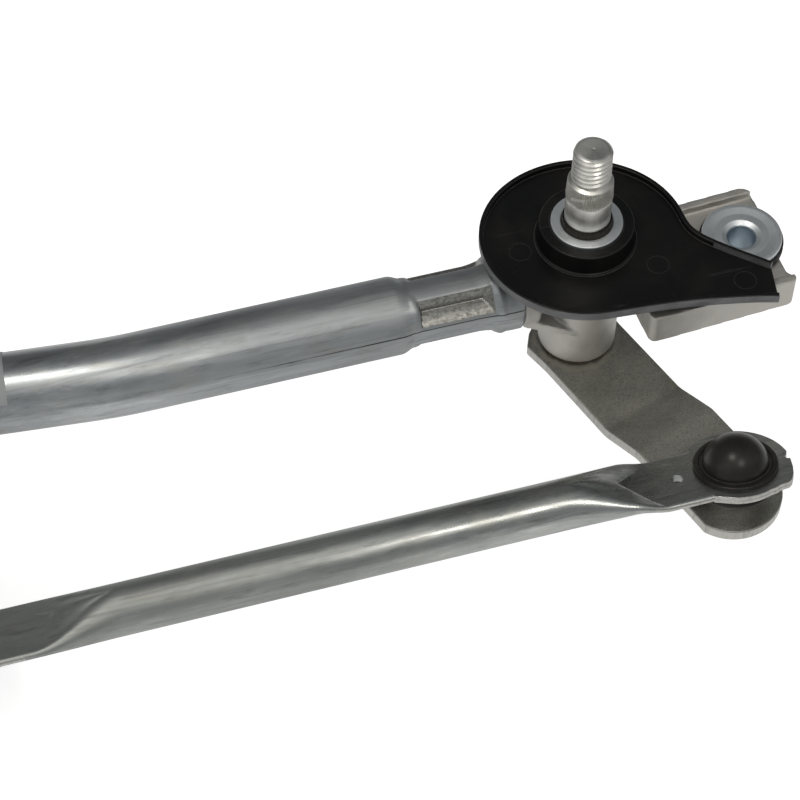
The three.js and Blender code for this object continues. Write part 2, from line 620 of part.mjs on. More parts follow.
function addMotor() {
  const here = subgroup(MOTOR_AXIS.x, MOTOR_AXIS.y);
  place(here, 'motor_plate', motorPlate(), 'pressedSteel');
  const rubberTop = REAR_MOUNT.sleeveTop - SLEEVE.flangeThick - FIT;
  const rubber = grommet(EAR.hole, PLATE_BOTTOM, MOTOR.plateTop, PLATE_BOTTOM - 3.5, rubberTop);
  place(here, 'motor_grommet', rubber.translate([0, REAR_MOUNT.y, 0]), 'rubber');
  const sleeve = mountSleeve(REAR_MOUNT.sleeveBottom, REAR_MOUNT.sleeveTop);
  place(here, 'motor_mount_sleeve', sleeve.translate([0, REAR_MOUNT.y, 0]), 'zinc');
  place(here, 'gear_housing', gearHousing(), 'dieCast');
  place(here, 'gear_cover', gearCover(), 'blackPlastic');
  place(here, 'output_bush', ring(5 + RUNNING, 7.1, CASTING_TOP - 6, -8.1), 'bronze');
  place(here, 'motor_yoke', alongWorm(motorYoke()), 'paintedCan');
  place(here, 'magnet_a', alongWorm(magnet(1)), 'ferrite');
  place(here, 'magnet_b', alongWorm(magnet(-1)), 'ferrite');
  place(here, 'brush_holder', alongWorm(brushHolder()), 'gearPlastic');
  place(here, 'armature', alongWorm(armature()), 'armature');
  place(here, 'motor_connector', connector(), 'blackPlastic');
  screwPlaces().forEach((at, i) => {
    place(here, `motor_screw_${i + 1}`, motorScrew().translate(at), 'zinc');
  });

  const turning = subgroup(MOTOR_AXIS.x, MOTOR_AXIS.y, 0, CRANK_REST);
  place(turning, 'output_gear', outputGear(), 'gearPlastic');
  place(turning, 'output_shaft', outputShaft(), 'machined');
  place(turning, 'motor_crank', crankArm(4.75, false), 'pressedSteel');
  place(turning, 'crank_nut', hexNut(CRANK.topAtBall + FIT, 9.4, 13, 4.15), 'zinc');
  const stud = place(turning, 'double_ball_stud', doubleBallStud(), 'machined');
  stud.position.set(CRANK_RADIUS, 0, CRANK.topAtBall);
}

// ---- the assembly ----
place(group, 'frame_tube', frameTube(), 'galvanised');
place(group, 'blank_label', blankLabel(), 'label');
addPivot('right', new THREE.Vector2(0, 0), 0, 1);
addPivot('left', LEFT_AXIS, Math.PI - TUBE_BEND, -1);
addMotor();

addLink('right_link', ballPlace(MOTOR_AXIS, BALL_Z), LINK_LENGTH, 0, LINK_ROLL);
const leftSpan = LEFT_AXIS.clone().sub(MOTOR_AXIS);
addLink('left_link', ballPlace(MOTOR_AXIS, LOWER_BALL_Z), leftSpan.length(), leftSpan.angle(), Math.PI);

group.position.z = -SHAFT.tipZ;

export default group;
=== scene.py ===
"""Windshield wiper assembly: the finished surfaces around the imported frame.

Every piece is built in the millimetres of its own local frame (a pivot, a crank, a link or the motor), then
placed in the row frame, in metres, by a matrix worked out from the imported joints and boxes.
"""

import json
import math
from contextlib import contextmanager

import bmesh
import bpy
import numpy as np
from mathutils import Matrix, Vector


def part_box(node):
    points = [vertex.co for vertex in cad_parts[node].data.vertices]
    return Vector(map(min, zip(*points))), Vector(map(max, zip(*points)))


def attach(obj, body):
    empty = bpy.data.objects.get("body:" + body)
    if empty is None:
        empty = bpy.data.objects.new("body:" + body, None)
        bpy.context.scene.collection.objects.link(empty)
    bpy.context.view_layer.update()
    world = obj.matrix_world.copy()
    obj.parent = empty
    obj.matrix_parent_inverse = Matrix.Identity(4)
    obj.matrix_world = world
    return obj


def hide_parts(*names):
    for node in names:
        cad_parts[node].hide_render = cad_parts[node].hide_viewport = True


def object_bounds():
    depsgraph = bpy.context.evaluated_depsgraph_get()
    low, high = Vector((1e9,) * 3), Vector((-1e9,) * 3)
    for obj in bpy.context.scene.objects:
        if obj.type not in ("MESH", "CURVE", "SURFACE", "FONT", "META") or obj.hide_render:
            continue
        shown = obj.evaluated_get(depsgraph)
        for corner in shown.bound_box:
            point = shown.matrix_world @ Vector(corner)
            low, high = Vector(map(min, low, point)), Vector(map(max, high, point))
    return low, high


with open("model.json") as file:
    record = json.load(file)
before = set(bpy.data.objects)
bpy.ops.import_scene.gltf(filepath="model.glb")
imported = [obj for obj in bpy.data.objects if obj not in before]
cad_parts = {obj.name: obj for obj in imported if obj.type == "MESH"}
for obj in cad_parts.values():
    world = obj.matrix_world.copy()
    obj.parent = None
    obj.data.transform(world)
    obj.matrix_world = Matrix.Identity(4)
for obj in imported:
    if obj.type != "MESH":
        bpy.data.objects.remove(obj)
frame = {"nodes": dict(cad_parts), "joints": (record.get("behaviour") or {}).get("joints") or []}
cad_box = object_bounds()

# ---- driving dimensions, in millimetres ----
MM = 0.001

TUBE_RADIUS = 10.0
TUBE_WALL = 2.4
TUBE_Z = 24.0  # tube axis above the foot of a barrel
TUBE_END = 18.0  # pivot axis to the end of the tube
BEND_X = -121.0
BEND_LENGTH = 12.0
CRIMP_NEAR = 25.4  # pivot axis to the near end of the crimp pockets
CRIMP_FAR = 44.8
CRIMP_DEPTH = 3.0
CRIMP_UPPER = math.radians(17.6)  # crease to the upper edge
CRIMP_LOWER = math.radians(27)  # crease to the lower edge
WAIST = 1.3  # squeeze of the tube's sides between its end and the far end of the pockets
WAIST_TURN = math.radians(40)  # the direction of that squeeze, from +Y over the top
SEAM_ANGLE = math.radians(163)  # weld line of the tube, just under the front pocket
CRIMP_CREASE = math.radians(131.5)  # bottom of the front pocket, from +Y over the top

BARREL_RADIUS = 10.15
BARREL_BORE = 7.5
BARREL_TOP = 43.2

EAR_SKEW = math.radians(3.5)
EAR_X, EAR_Y = 31.0, -6.8  # middle of the ear tray
SLEEVE_X, SLEEVE_Y = 40.0, -5.9
GROMMET_HOLE = 7.2

COVER_RADIUS = 25.7
COVER_FLOOR = (37.4, 38.6)
COVER_RIM_TOP = 40.2
COVER_RIM = 1.2
COLLAR_TOP = 44.4

SHAFT_RADIUS = 5.75
SHAFT_TIP = 70.9

CRANK_THICK = 3.5
CRANK_HALF_WIDTH = 12.0
CRANK_LOW = -1.5  # top face at the shaft end
CRANK_HIGH = 3.2  # top face at the ball end
JOGGLE = (28.6, 41.0)
BALL_RADIUS = 6.5
BALL_HEIGHT = 10.2

ROD_DIAMETER = 12.7
ROD_FLAT = 2.0
ROD_MID = -1.0  # mid-plane of the flattened ends below the ball centre
ROD_LIFT = 1.6  # tube axis above that plane
LINK_ROLL = math.radians(-17)
HEAD_RADIUS = 13.3
TOOLING_HOLE = 1.5  # radius of the small hole in each link head
TOOLING_REACH = 15.1  # ball centre to that hole
SOCKET_BORE = 7.45  # radius of the socket's hole in each link head
DOME_RADIUS = 8.35


# ---- small geometry helpers: a shape is (vertices, faces) in millimetres ----
def smooth(t):
    """0 below 0, 1 above 1, an even S between."""
    t = min(1.0, max(0.0, t))
    return t * t * (3 - 2 * t)


def rounded(points, steps, closed=True):
    """A profile whose points may carry a third value, the radius that rounds that corner."""
    out = []
    count = len(points)
    for i, point in enumerate(points):
        here = Vector(point[:2])
        if len(point) == 2 or (not closed and i in (0, count - 1)):
            out.append(tuple(here))
            continue
        to_last = Vector(points[i - 1][:2]) - here
        to_next = Vector(points[(i + 1) % count][:2]) - here
        half = to_last.angle(to_next) / 2
        reach = min(point[2] / math.tan(half), 0.49 * to_last.length, 0.49 * to_next.length)
        radius = reach * math.tan(half)
        centre = here + (to_last.normalized() + to_next.normalized()).normalized() * (radius / math.sin(half))
        first = here + to_last.normalized() * reach - centre
        last = here + to_next.normalized() * reach - centre
        sweep = first.angle_signed(last)
        for k in range(steps + 1):
            turn = Matrix.Rotation(-sweep * k / steps, 2)
            out.append(tuple(centre + turn @ first))
    return out


def turned(profile, steps=4, segments=96, closed=False):
    """A profile with rounded corners, turned about Z."""
    return lathe(rounded(profile, steps, closed), segments)


def cylinder(radius, bottom, top, segments=96):
    return lathe([(0, bottom), (radius, bottom), (radius, top), (0, top)], segments)


def lathe(profile, segments=96):
    """Turns (radius, z) points about Z. A profile starts and ends on the axis, or is a closed ring."""
    verts, rows, faces = [], [], []
    angles = [2 * math.pi * k / segments for k in range(segments)]
    for radius, z in profile:
        if radius < 1e-6:
            rows.append([len(verts)])
            verts.append((0.0, 0.0, z))
        else:
            rows.append(list(range(len(verts), len(verts) + segments)))
            verts += [(radius * math.cos(a), radius * math.sin(a), z) for a in angles]
    pairs = list(zip(rows, rows[1:]))
    if len(rows[0]) > 1:
        pairs.append((rows[-1], rows[0]))
    for low, high in pairs:
        for k in range(segments):
            n = (k + 1) % segments
            quad = [low[k % len(low)], low[n % len(low)], high[n % len(high)], high[k % len(high)]]
            faces.append(list(dict.fromkeys(quad)))
    return verts, faces


def loft(rings, loop=False):
    """Skins rings with equal counts. A loop joins the last ring to the first, otherwise both ends close."""
    count = len(rings[0])
    verts = [tuple(p) for ring in rings for p in ring]
    faces = []
    last = len(rings) if loop else len(rings) - 1
    for i in range(last):
        a, b = i * count, ((i + 1) % len(rings)) * count
        for k in range(count):
            n = (k + 1) % count
            faces.append([a + k, a + n, b + n, b + k])
    if not loop:
        faces.append(list(range(count))[::-1])
        faces.append(list(range((len(rings) - 1) * count, len(rings) * count)))
    return verts, faces


def merged(*shapes):
    verts, faces = [], []
    for shape_verts, shape_faces in shapes:
        start = len(verts)
        verts += list(shape_verts)
        faces += [[start + i for i in face] for face in shape_faces]
    return verts, faces


def moved(shape, x=0.0, y=0.0, z=0.0, turn=0.0, matrix=None):
    move = matrix or Matrix.Translation((x, y, z)) @ Matrix.Rotation(turn, 4, "Z")
    return [tuple(move @ Vector(p)) for p in shape[0]], shape[1]


def along_x(shape, y, z):
    """A shape turned about Z laid down, so that its axis runs along X."""
    return moved(shape, matrix=Matrix.Translation((0, y, z)) @ Matrix.Rotation(math.pi / 2, 4, "Y"))


def arc(radius, start, end, steps, x=0.0, y=0.0):
    """Points of an arc, with its angles in degrees."""
    angles = [math.radians(start + (end - start) * i / steps) for i in range(steps + 1)]
    return [(x + radius * math.cos(a), y + radius * math.sin(a)) for a in angles]


def circle(radius, x=0.0, y=0.0, steps=64):
    return arc(radius, 0, 360, steps, x, y)[:-1]


@contextmanager
def edited(mesh):
    work = bmesh.new()
    work.from_mesh(mesh)
    yield work
    work.to_mesh(mesh)
    work.free()


def mesh_of(shape):
    mesh = bpy.data.meshes.new("shape")
    mesh.from_pydata(shape[0], [], shape[1])
    with edited(mesh) as work:
        bmesh.ops.recalc_face_normals(work, faces=work.faces)
    return mesh


def mark(mesh, wanted):
    """Gives a mesh's second material to the faces that are wanted."""
    for polygon in mesh.polygons:
        polygon.material_index = int(wanted(polygon))


def baked(obj):
    """The mesh an object shows with its modifiers, and the object is gone."""
    graph = bpy.context.evaluated_depsgraph_get()
    mesh = bpy.data.meshes.new_from_object(obj.evaluated_get(graph))
    bpy.data.objects.remove(obj)
    return mesh


def shown(data):
    obj = bpy.data.objects.new("work", data)
    bpy.context.scene.collection.objects.link(obj)
    return obj


def plate(outline, bottom, top, edge, holes=(), steps=2):
    """A flat plate with rounded edges and holes, as a mesh."""
    curve = bpy.data.curves.new("plate", "CURVE")
    curve.dimensions = "2D"
    curve.fill_mode = "BOTH"
    curve.extrude = (top - bottom) / 2 - edge
    curve.bevel_depth = edge
    curve.bevel_resolution = steps
    curve.offset = -edge
    for loop in [outline, *holes]:
        spline = curve.splines.new("POLY")
        spline.points.add(len(loop) - 1)
        for point, (x, y) in zip(spline.points, loop):
            point.co = (x, y, 0, 1)
        spline.use_cyclic_u = True
    mesh = baked(shown(curve))
    mesh.transform(Matrix.Translation((0, 0, (top + bottom) / 2)))
    with edited(mesh) as work:
        bmesh.ops.remove_doubles(work, verts=work.verts, dist=1e-4)
        bmesh.ops.recalc_face_normals(work, faces=work.faces)
    return mesh


def combined(mesh, tools, operation):
    """A boolean of a mesh with others, one after another."""
    for tool in tools:
        cutter = shown(tool)
        obj = shown(mesh)
        modifier = obj.modifiers.new("boolean", "BOOLEAN")
        modifier.operation = operation
        modifier.solver = "EXACT"
        modifier.object = cutter
        mesh = baked(obj)
        bpy.data.objects.remove(cutter)
    return mesh


def cast(shapes, voxel, rounds, cuts):
    """Overlapping solids fused into one casting with soft corners, then bored by crisp cutters."""
    obj = shown(mesh_of(merged(*shapes)))
    remesh = obj.modifiers.new("remesh", "REMESH")
    remesh.mode = "VOXEL"
    remesh.voxel_size = voxel
    soften = obj.modifiers.new("soften", "SMOOTH")
    soften.factor = 0.5
    soften.iterations = rounds
    return combined(baked(obj), [mesh_of(shape) for shape in cuts], "DIFFERENCE")


def box(low, high):
    (x0, y0, z0), (x1, y1, z1) = low, high
    ring = [(x0, y0), (x1, y0), (x1, y1), (x0, y1)]
    return loft([[(x, y, z) for x, y in ring] for z in (z0, z1)])


def prism(outline, bottom, top):
    return loft([[(x, y, z) for x, y in outline] for z in (bottom, top)])


def rounded_box(x0, y0, x1, y1, radius, steps=6):
    return rounded([(x0, y0, radius), (x1, y0, radius), (x1, y1, radius), (x0, y1, radius)], steps)


# ---- placing ----
def joint_place(name):
    return Vector(next(j for j in frame["joints"] if j["name"] == name)["pos_m"])


def box_centre(node):
    low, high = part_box(node)
    return (low + high) / 2


def local_frame(x, y, z, turn=0.0, roll=0.0, mirror=1):
    """Local millimetres to metres in the row frame. A mirror of -1 flips Y first."""
    facing = Matrix.Rotation(turn, 4, "Z") @ Matrix.Rotation(roll, 4, "X")
    return Matrix.Translation((x, y, z)) @ facing @ Matrix.Diagonal((MM, mirror * MM, MM, 1))


def heading(vector):
    return math.atan2(vector.y, vector.x)


FOOT_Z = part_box("right_pivot_housing")[0].z
RIGHT = joint_place("right_pivot_turn")
LEFT = joint_place("left_pivot_turn")
MOTOR = joint_place("motor_crank_turn")
RIGHT_BALL = joint_place("right_link_turn")
LEFT_BALL = joint_place("left_link_turn")
TUBE_BEND = math.atan2(LEFT.y, BEND_X * MM - LEFT.x)
CRANK_RADIUS = (RIGHT_BALL - RIGHT).xy.length / MM
CRANK_REST = heading(RIGHT_BALL - RIGHT)


def finished(node, mesh, place, body, slot, materials, sharp=34, weighted=True):
    """Puts a local mesh in place as the piece that stands for one CAD node."""
    mesh.transform(place)
    if place.determinant() < 0:
        mesh.flip_normals()
    marks = [min(polygon.material_index, len(materials) - 1) for polygon in mesh.polygons]
    mesh.materials.clear()
    for material in materials:
        mesh.materials.append(material)
    mesh.polygons.foreach_set("material_index", marks)
    mesh.polygons.foreach_set("use_smooth", [True] * len(mesh.polygons))
    mesh.set_sharp_from_angle(angle=math.radians(sharp))
    mesh.name = node + "_mesh"
    piece = bpy.data.objects.new(node + "_finished", mesh)
    bpy.context.scene.collection.objects.link(piece)
    if weighted:
        normals = piece.modifiers.new("normals", "WEIGHTED_NORMAL")
        normals.keep_sharp = True
        normals.weight = 60
    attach(piece, body)
    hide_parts(node)
    return piece


# ---- materials ----
def feed(tree, node, inputs):
    """Sets or links a node's inputs, named with underscores for spaces, or i and their number."""
    for key, value in inputs.items():
        numbered = key[0] == "i" and key[1:].isdigit()
        socket = node.inputs[int(key[1:]) if numbered else key.replace("_", " ")]
        if isinstance(value, bpy.types.NodeSocket):
            tree.links.new(value, socket)
        elif socket.type == "RGBA" and len(value) == 3:
            socket.default_value = (*value, 1)
        else:
            socket.default_value = value


def add_node(tree, kind, settings=None, **inputs):
    made = tree.nodes.new(kind)
    for key, value in (settings or {}).items():
        setattr(made, key, value)
    feed(tree, made, inputs)
    return made


class Surface:
    """A node-based material on the object's own coordinates, in metres. Its tone is built up in layers."""

    def __init__(self, name, tone=(0.8, 0.8, 0.8), metallic=0.0, **values):
        self.material = bpy.data.materials.new(name)
        self.material.use_nodes = True
        self.tree = self.material.node_tree
        self.shader = self.tree.nodes["Principled BSDF"]
        self.coords = self.node("ShaderNodeTexCoord").outputs["Object"]
        self.tone = tone
        self.set(Metallic=metallic, **values)

    def node(self, kind, settings=None, **inputs):
        return add_node(self.tree, kind, settings, **inputs)

    def set(self, **inputs):
        feed(self.tree, self.shader, inputs)

    def stretched(self, scale):
        """Coordinates scaled along each axis, so that a pattern runs in streaks."""
        return self.node("ShaderNodeMapping", Vector=self.coords, Scale=scale).outputs[0]

    def noise(self, scale, detail, roughness=0.5, stretch=(1, 1, 1), distortion=0.0):
        made = self.node("ShaderNodeTexNoise", Vector=self.stretched(stretch), Scale=scale, Detail=detail,
                         Roughness=roughness, Distortion=distortion)
        return made.outputs["Fac"]

    def cells(self, scale):
        made = self.node("ShaderNodeTexVoronoi", Vector=self.stretched((1, 1, 1)), Scale=scale)
        return made.outputs["Distance"]

    def span(self, value, low, high, out_low=0.0, out_high=1.0):
        made = self.node("ShaderNodeMapRange", i0=value, i1=low, i2=high, i3=out_low, i4=out_high)
        return made.outputs[0]

    def swing(self, pattern, low, high):
        """A noise pattern's usual range turned into values from low to high."""
        return self.span(pattern, 0.3, 0.7, low, high)

    def maths(self, operation, a, b=0.0):
        return self.node("ShaderNodeMath", {"operation": operation}, i0=a, i1=b).outputs[0]

    def plus(self, a, b):
        return self.maths("ADD", a, b)

    def times(self, a, b):
        return self.maths("MULTIPLY", a, b)

    def mix(self, a, b, factor):
        made = self.node("ShaderNodeMix", {"data_type": "RGBA"}, i0=factor, i6=a, i7=b)
        return made.outputs[2]

    def over(self, colour, factor):
        """Lays a colour over the tone."""
        self.tone = self.mix(self.tone, colour, factor)

    def layer(self, colour, pattern, low, high, share=1.0):
        """Lays a colour over the tone where a pattern runs from low to high."""
        self.over(colour, self.span(pattern, low, high, 0, share))

    def rub(self, colour, radius, share):
        """Lays a colour over the tone on edges sharper than the radius in metres."""
        self.over(colour, self.times(self.edge(radius), share))

    def edge(self, radius):
        """1 on edges sharper than the radius in metres, 0 on flats."""
        soft = self.node("ShaderNodeBevel", {"samples": 4}, Radius=radius).outputs[0]
        true = self.node("ShaderNodeNewGeometry").outputs["Normal"]
        dot = self.node("ShaderNodeVectorMath", {"operation": "DOT_PRODUCT"}, i0=soft, i1=true)
        dot = dot.outputs["Value"]
        return self.span(self.maths("SUBTRACT", 1.0, dot), 0.02, 0.25)

    def ring(self, centre, inner, outer, ragged):
        """1 between two radii round a vertical axis, with ragged edges."""
        flat = self.node("ShaderNodeMapping", Vector=self.coords, Location=(-centre.x, -centre.y, 0),
                         Scale=(1, 1, 0)).outputs[0]
        reach = self.node("ShaderNodeVectorMath", {"operation": "LENGTH"}, i0=flat).outputs["Value"]
        reach = self.plus(reach, self.swing(self.noise(260, 3, 0.6), -ragged, ragged))
        rise = self.span(reach, inner, inner + 0.0004)
        fall = self.span(reach, outer, outer - 0.0006)
        return self.times(rise, fall)

    def done(self, rough, relief, depth, strength):
        """Feeds the shader with the tone, the roughness and a relief of a depth in metres."""
        bump = self.node("ShaderNodeBump", Height=relief, Distance=depth, Strength=strength)
        self.set(Base_Color=self.tone, Roughness=rough, Normal=bump.outputs[0])
        return self.material


def weld_line(s):
    """The thin dark line of the weld along the straight right end of the frame tube."""
    x, y, z = s.node("ShaderNodeSeparateXYZ", Vector=s.coords).outputs
    rise = s.maths("SUBTRACT", z, FOOT_Z + TUBE_Z * MM)
    across = s.plus(s.times(y, math.sin(SEAM_ANGLE)), s.times(rise, -math.cos(SEAM_ANGLE)))
    line = s.span(s.maths("ABSOLUTE", across), 0.00022, 0.00008)
    front = s.span(y, -0.004, -0.005)
    near = s.span(s.plus(x, s.swing(s.noise(90, 3), -0.02, 0.02)), -0.1, -0.06)
    return s.times(s.times(line, front), near)


def galvanised(name, base, dark, warm, rough, dull_and_shade_span, seam=False):
    """Drawn zinc-coated tube: long streaks, soft clouds, scuffs. Between two places along X it turns rougher
    and darker; the darkening is painted shade where the lamps' highlight fades along it.
    """
    s = Surface(name, base, metallic=0.92)
    streaks = s.noise(900, 3, 0.6, (0.02, 1, 1))
    fine = s.noise(2600, 2, 0.6, (0.06, 1, 1))
    patches = s.noise(120, 5, 0.7, (0.5, 1, 1), 1.2)
    grime = s.noise(420, 4, 0.7, (0.16, 1, 1))
    s.layer(dark, s.noise(55, 4, 0.6, (0.35, 1, 1), 0.4), 0.42, 0.68, 0.9)
    s.layer(warm, patches, 0.5, 0.72, 0.55)
    s.layer(dark, streaks, 0.54, 0.74, 0.8)
    s.layer((0.78, 0.8, 0.8), s.noise(1500, 2, 0.5, (0.012, 1, 1)), 0.66, 0.78, 0.5)
    s.layer(tuple(0.6 * c for c in dark), grime, 0.54, 0.68, 0.5)
    s.layer((0.7, 0.71, 0.7), grime, 0.43, 0.3, 0.4)
    along = s.node("ShaderNodeSeparateXYZ", Vector=s.coords).outputs[0]
    dulled_and_shaded = s.span(along, *dull_and_shade_span)
    # painted shade: the tone darkens from the first place to the second, where the highlight fades
    s.over(dark, s.times(dulled_and_shaded, 0.4))
    if seam:
        s.over((0.03, 0.03, 0.03), weld_line(s))
    shine = s.plus(s.swing(patches, *rough), s.swing(streaks, -0.04, 0.06))
    relief = s.plus(s.times(streaks, 0.6), s.times(fine, 0.25))
    return s.done(s.plus(shine, s.times(dulled_and_shaded, 0.2)), relief, 0.00004, 0.5)


def crimped():
    """The tube's skin in the crimp pockets: duller, gritty and dragged by the punch, lighter on its creases
    and edges, and darker than the tube as painted shade in the pocket.
    """
    # painted shade: a darker base than the tube's, for the recess of the pocket
    s = Surface("crimped_steel", (0.34, 0.34, 0.32), metallic=0.85)
    grit = s.noise(1100, 4, 0.7)
    drag = s.noise(500, 3, 0.6, (0.15, 1, 1))
    s.layer((0.16, 0.158, 0.145), grit, 0.42, 0.68)
    s.layer((0.48, 0.47, 0.44), drag, 0.56, 0.74, 0.6)
    s.rub((0.85, 0.84, 0.8), 0.0005, 0.85)
    return s.done(s.swing(grit, 0.3, 0.46), s.plus(grit, drag), 0.00012, 0.7)


def die_cast():
    s = Surface("die_cast", (0.56, 0.54, 0.505), metallic=0.8)
    grain = s.noise(1500, 4, 0.65)
    s.layer((0.36, 0.345, 0.32), s.noise(70, 4, 0.6), 0.45, 0.7, 0.6)
    s.layer((0.62, 0.6, 0.57), grain, 0.52, 0.75, 0.5)
    s.rub((0.66, 0.65, 0.62), 0.0006, 0.25)
    relief = s.plus(grain, s.times(s.cells(900), 0.5))
    return s.done(s.swing(grain, 0.46, 0.62), relief, 0.00008, 0.6)


def machined():
    """Turned steel: fine rings across the axis, oily in places."""
    s = Surface("machined_steel", (0.8, 0.79, 0.75), metallic=1.0)
    rings = s.noise(2200, 2, 0.6, (0.06, 0.06, 1))
    s.layer((0.34, 0.325, 0.3), s.noise(160, 4, 0.6), 0.46, 0.7, 0.6)
    s.layer((0.72, 0.71, 0.69), rings, 0.55, 0.75, 0.5)
    s.layer((0.13, 0.12, 0.11), s.noise(700, 4, 0.7), 0.58, 0.72, 0.3)
    return s.done(s.swing(rings, 0.3, 0.48), rings, 0.00003, 0.4)


def pressed(name, centre, base=(0.37, 0.366, 0.33)):
    """Phosphated plate, speckled, with a pale ring of staking residue round the shaft."""
    s = Surface(name, base)
    speckle = s.noise(2400, 3, 0.7)
    clouds = s.noise(90, 5, 0.65, (1, 1, 1), 0.5)
    s.layer((0.34, 0.335, 0.31), clouds, 0.42, 0.66)
    s.layer((0.17, 0.168, 0.14), s.noise(38, 4, 0.6), 0.48, 0.64, 0.6)
    s.layer((0.12, 0.118, 0.1), speckle, 0.5, 0.7, 0.65)
    s.layer((0.62, 0.61, 0.58), speckle, 0.42, 0.3, 0.5)
    s.layer((0.5, 0.49, 0.46), s.noise(650, 3, 0.6, (0.15, 1, 1), 0.6), 0.62, 0.76, 0.45)
    s.rub((0.6, 0.59, 0.56), 0.0005, 0.55)
    residue = s.times(s.ring(centre, 0.0098, 0.0118, 0.0008), s.span(speckle, 0.35, 0.6))
    s.over((0.5, 0.46, 0.36), s.times(residue, 0.6))
    s.set(Metallic=s.span(residue, 0, 1, 0.75, 0.2))
    return s.done(s.swing(clouds, 0.36, 0.52), s.plus(speckle, residue), 0.00006, 0.5)


def sheared():
    """The bright cut edge of a plate."""
    s = Surface("sheared_edge", (0.5, 0.495, 0.47), metallic=0.95)
    drag = s.noise(1400, 3, 0.6, (1, 1, 0.12))
    s.layer((0.34, 0.335, 0.315), drag, 0.5, 0.75)
    return s.done(s.swing(drag, 0.28, 0.45), drag, 0.00006, 0.6)


def zinc(name="zinc_plated", base=(0.78, 0.81, 0.83), cloud=(0.7, 0.73, 0.75)):
    s = Surface(name, base, metallic=0.95)
    grain = s.noise(2500, 3, 0.6)
    s.layer(cloud, s.noise(180, 4, 0.6), 0.42, 0.7)
    s.layer((0.38, 0.37, 0.35), s.noise(600, 4, 0.7), 0.62, 0.75, 0.5)
    s.rub((0.8, 0.82, 0.82), 0.0004, 0.5)
    return s.done(s.swing(grain, 0.38, 0.5), grain, 0.00003, 0.4)


def bronze():
    s = Surface("bronze", (0.45, 0.28, 0.12), metallic=0.9)
    grain = s.noise(3000, 3, 0.7)
    s.layer((0.22, 0.13, 0.06), grain, 0.4, 0.7)
    return s.done(0.42, grain, 0.00004, 0.7)


def black_plastic(name="black_plastic", base=(0.004, 0.004, 0.0042), rough=(0.27, 0.4)):
    """Moulded black plastic: faint haze, a fine skin, a few rubbed edges."""
    s = Surface(name, base, Specular_IOR_Level=0.32)
    haze = s.noise(75, 4, 0.6, (1, 1, 1), 0.6)
    s.layer((0.010, 0.009, 0.008), haze, 0.42, 0.7)
    s.layer((0.05, 0.05, 0.05), s.noise(800, 3, 0.6, (0.1, 1, 1), 1.0), 0.66, 0.8, 0.5)
    s.rub((0.22, 0.22, 0.225), 0.0004, 0.6)
    return s.done(s.swing(haze, *rough), s.noise(3500, 2, 0.5), 0.00002, 0.5)


def rim_sheen_plastic():
    """The same plastic, lighter and greyer with a lighter mottle, as a painted sheen on the outer upright
    face of a rim.
    """
    s = Surface("rim_sheen_plastic", (0.1, 0.1, 0.104))
    sheen_mottle = s.noise(300, 4, 0.6, (0.4, 0.4, 1))
    s.layer((0.17, 0.17, 0.176), sheen_mottle, 0.4, 0.65)
    return s.done(s.swing(sheen_mottle, 0.38, 0.5), sheen_mottle, 0.00004, 0.4)


def rubber():
    s = Surface("rubber", (0.012, 0.012, 0.012))
    s.layer((0.05, 0.048, 0.045), s.noise(400, 4, 0.7), 0.5, 0.8)
    return s.done(0.72, s.noise(2500, 3, 0.6), 0.00004, 0.6)


def grease():
    s = Surface("greased_washer", (0.075, 0.05, 0.03), Coat_Weight=0.4, Coat_Roughness=0.25)
    blots = s.noise(500, 4, 0.6)
    s.layer((0.025, 0.018, 0.012), blots, 0.4, 0.7)
    return s.done(0.45, blots, 0.0001, 0.5)


def lip_rubber():
    """Brown-black seal, wet with grease, with streaks up its side."""
    s = Surface("seal_rubber", (0.022, 0.018, 0.012), Specular_IOR_Level=0.3)
    streaks = s.noise(1500, 3, 0.7, (1, 1, 0.1))
    s.layer((0.004, 0.004, 0.003), streaks, 0.45, 0.62)
    return s.done(s.swing(streaks, 0.35, 0.6), streaks, 0.0002, 0.6)


def film():
    """Silver film of the blank sticker."""
    s = Surface("blank_label", (0.35, 0.365, 0.37), metallic=0.15)
    ripple = s.noise(120, 2, 0.5)
    s.layer((0.3, 0.315, 0.32), ripple, 0.4, 0.6)
    return s.done(s.swing(s.noise(4000, 2, 0.5), 0.55, 0.68), ripple, 0.0001, 0.3)


def painted():
    s = Surface("painted_can", (0.013, 0.014, 0.016), Coat_Weight=0.3, Coat_Roughness=0.3)
    peel = s.noise(900, 3, 0.5)
    worn = s.times(s.edge(0.0006), s.span(s.noise(400, 4, 0.7), 0.45, 0.6))
    s.over((0.25, 0.25, 0.25), s.times(worn, 0.7))
    s.set(Metallic=worn)
    return s.done(s.swing(peel, 0.32, 0.46), peel, 0.00008, 0.5)


def ferrite():
    s = Surface("ferrite", (0.03, 0.03, 0.033), metallic=0.2)
    grain = s.noise(2000, 4, 0.7)
    s.layer((0.07, 0.07, 0.075), grain, 0.4, 0.7)
    return s.done(0.7, grain, 0.00006, 0.6)


def acetal():
    s = Surface("gear_plastic", (0.62, 0.58, 0.48), Subsurface_Weight=0.15)
    s.shader.inputs["Subsurface Radius"].default_value = (0.002, 0.0016, 0.001)
    s.layer((0.5, 0.46, 0.37), s.noise(120, 3, 0.6), 0.4, 0.7)
    return s.done(0.4, s.noise(2500, 2, 0.5), 0.00002, 0.5)


def laminations():
    """Stacked steel sheets with varnish, banded along the worm axis."""
    s = Surface("armature", (0.3, 0.22, 0.16), metallic=0.7)
    bands = s.noise(1600, 1, 0.5, (1, 0.02, 0.02))
    s.layer((0.12, 0.09, 0.07), bands, 0.42, 0.6)
    return s.done(s.swing(bands, 0.35, 0.55), bands, 0.0001, 0.6)
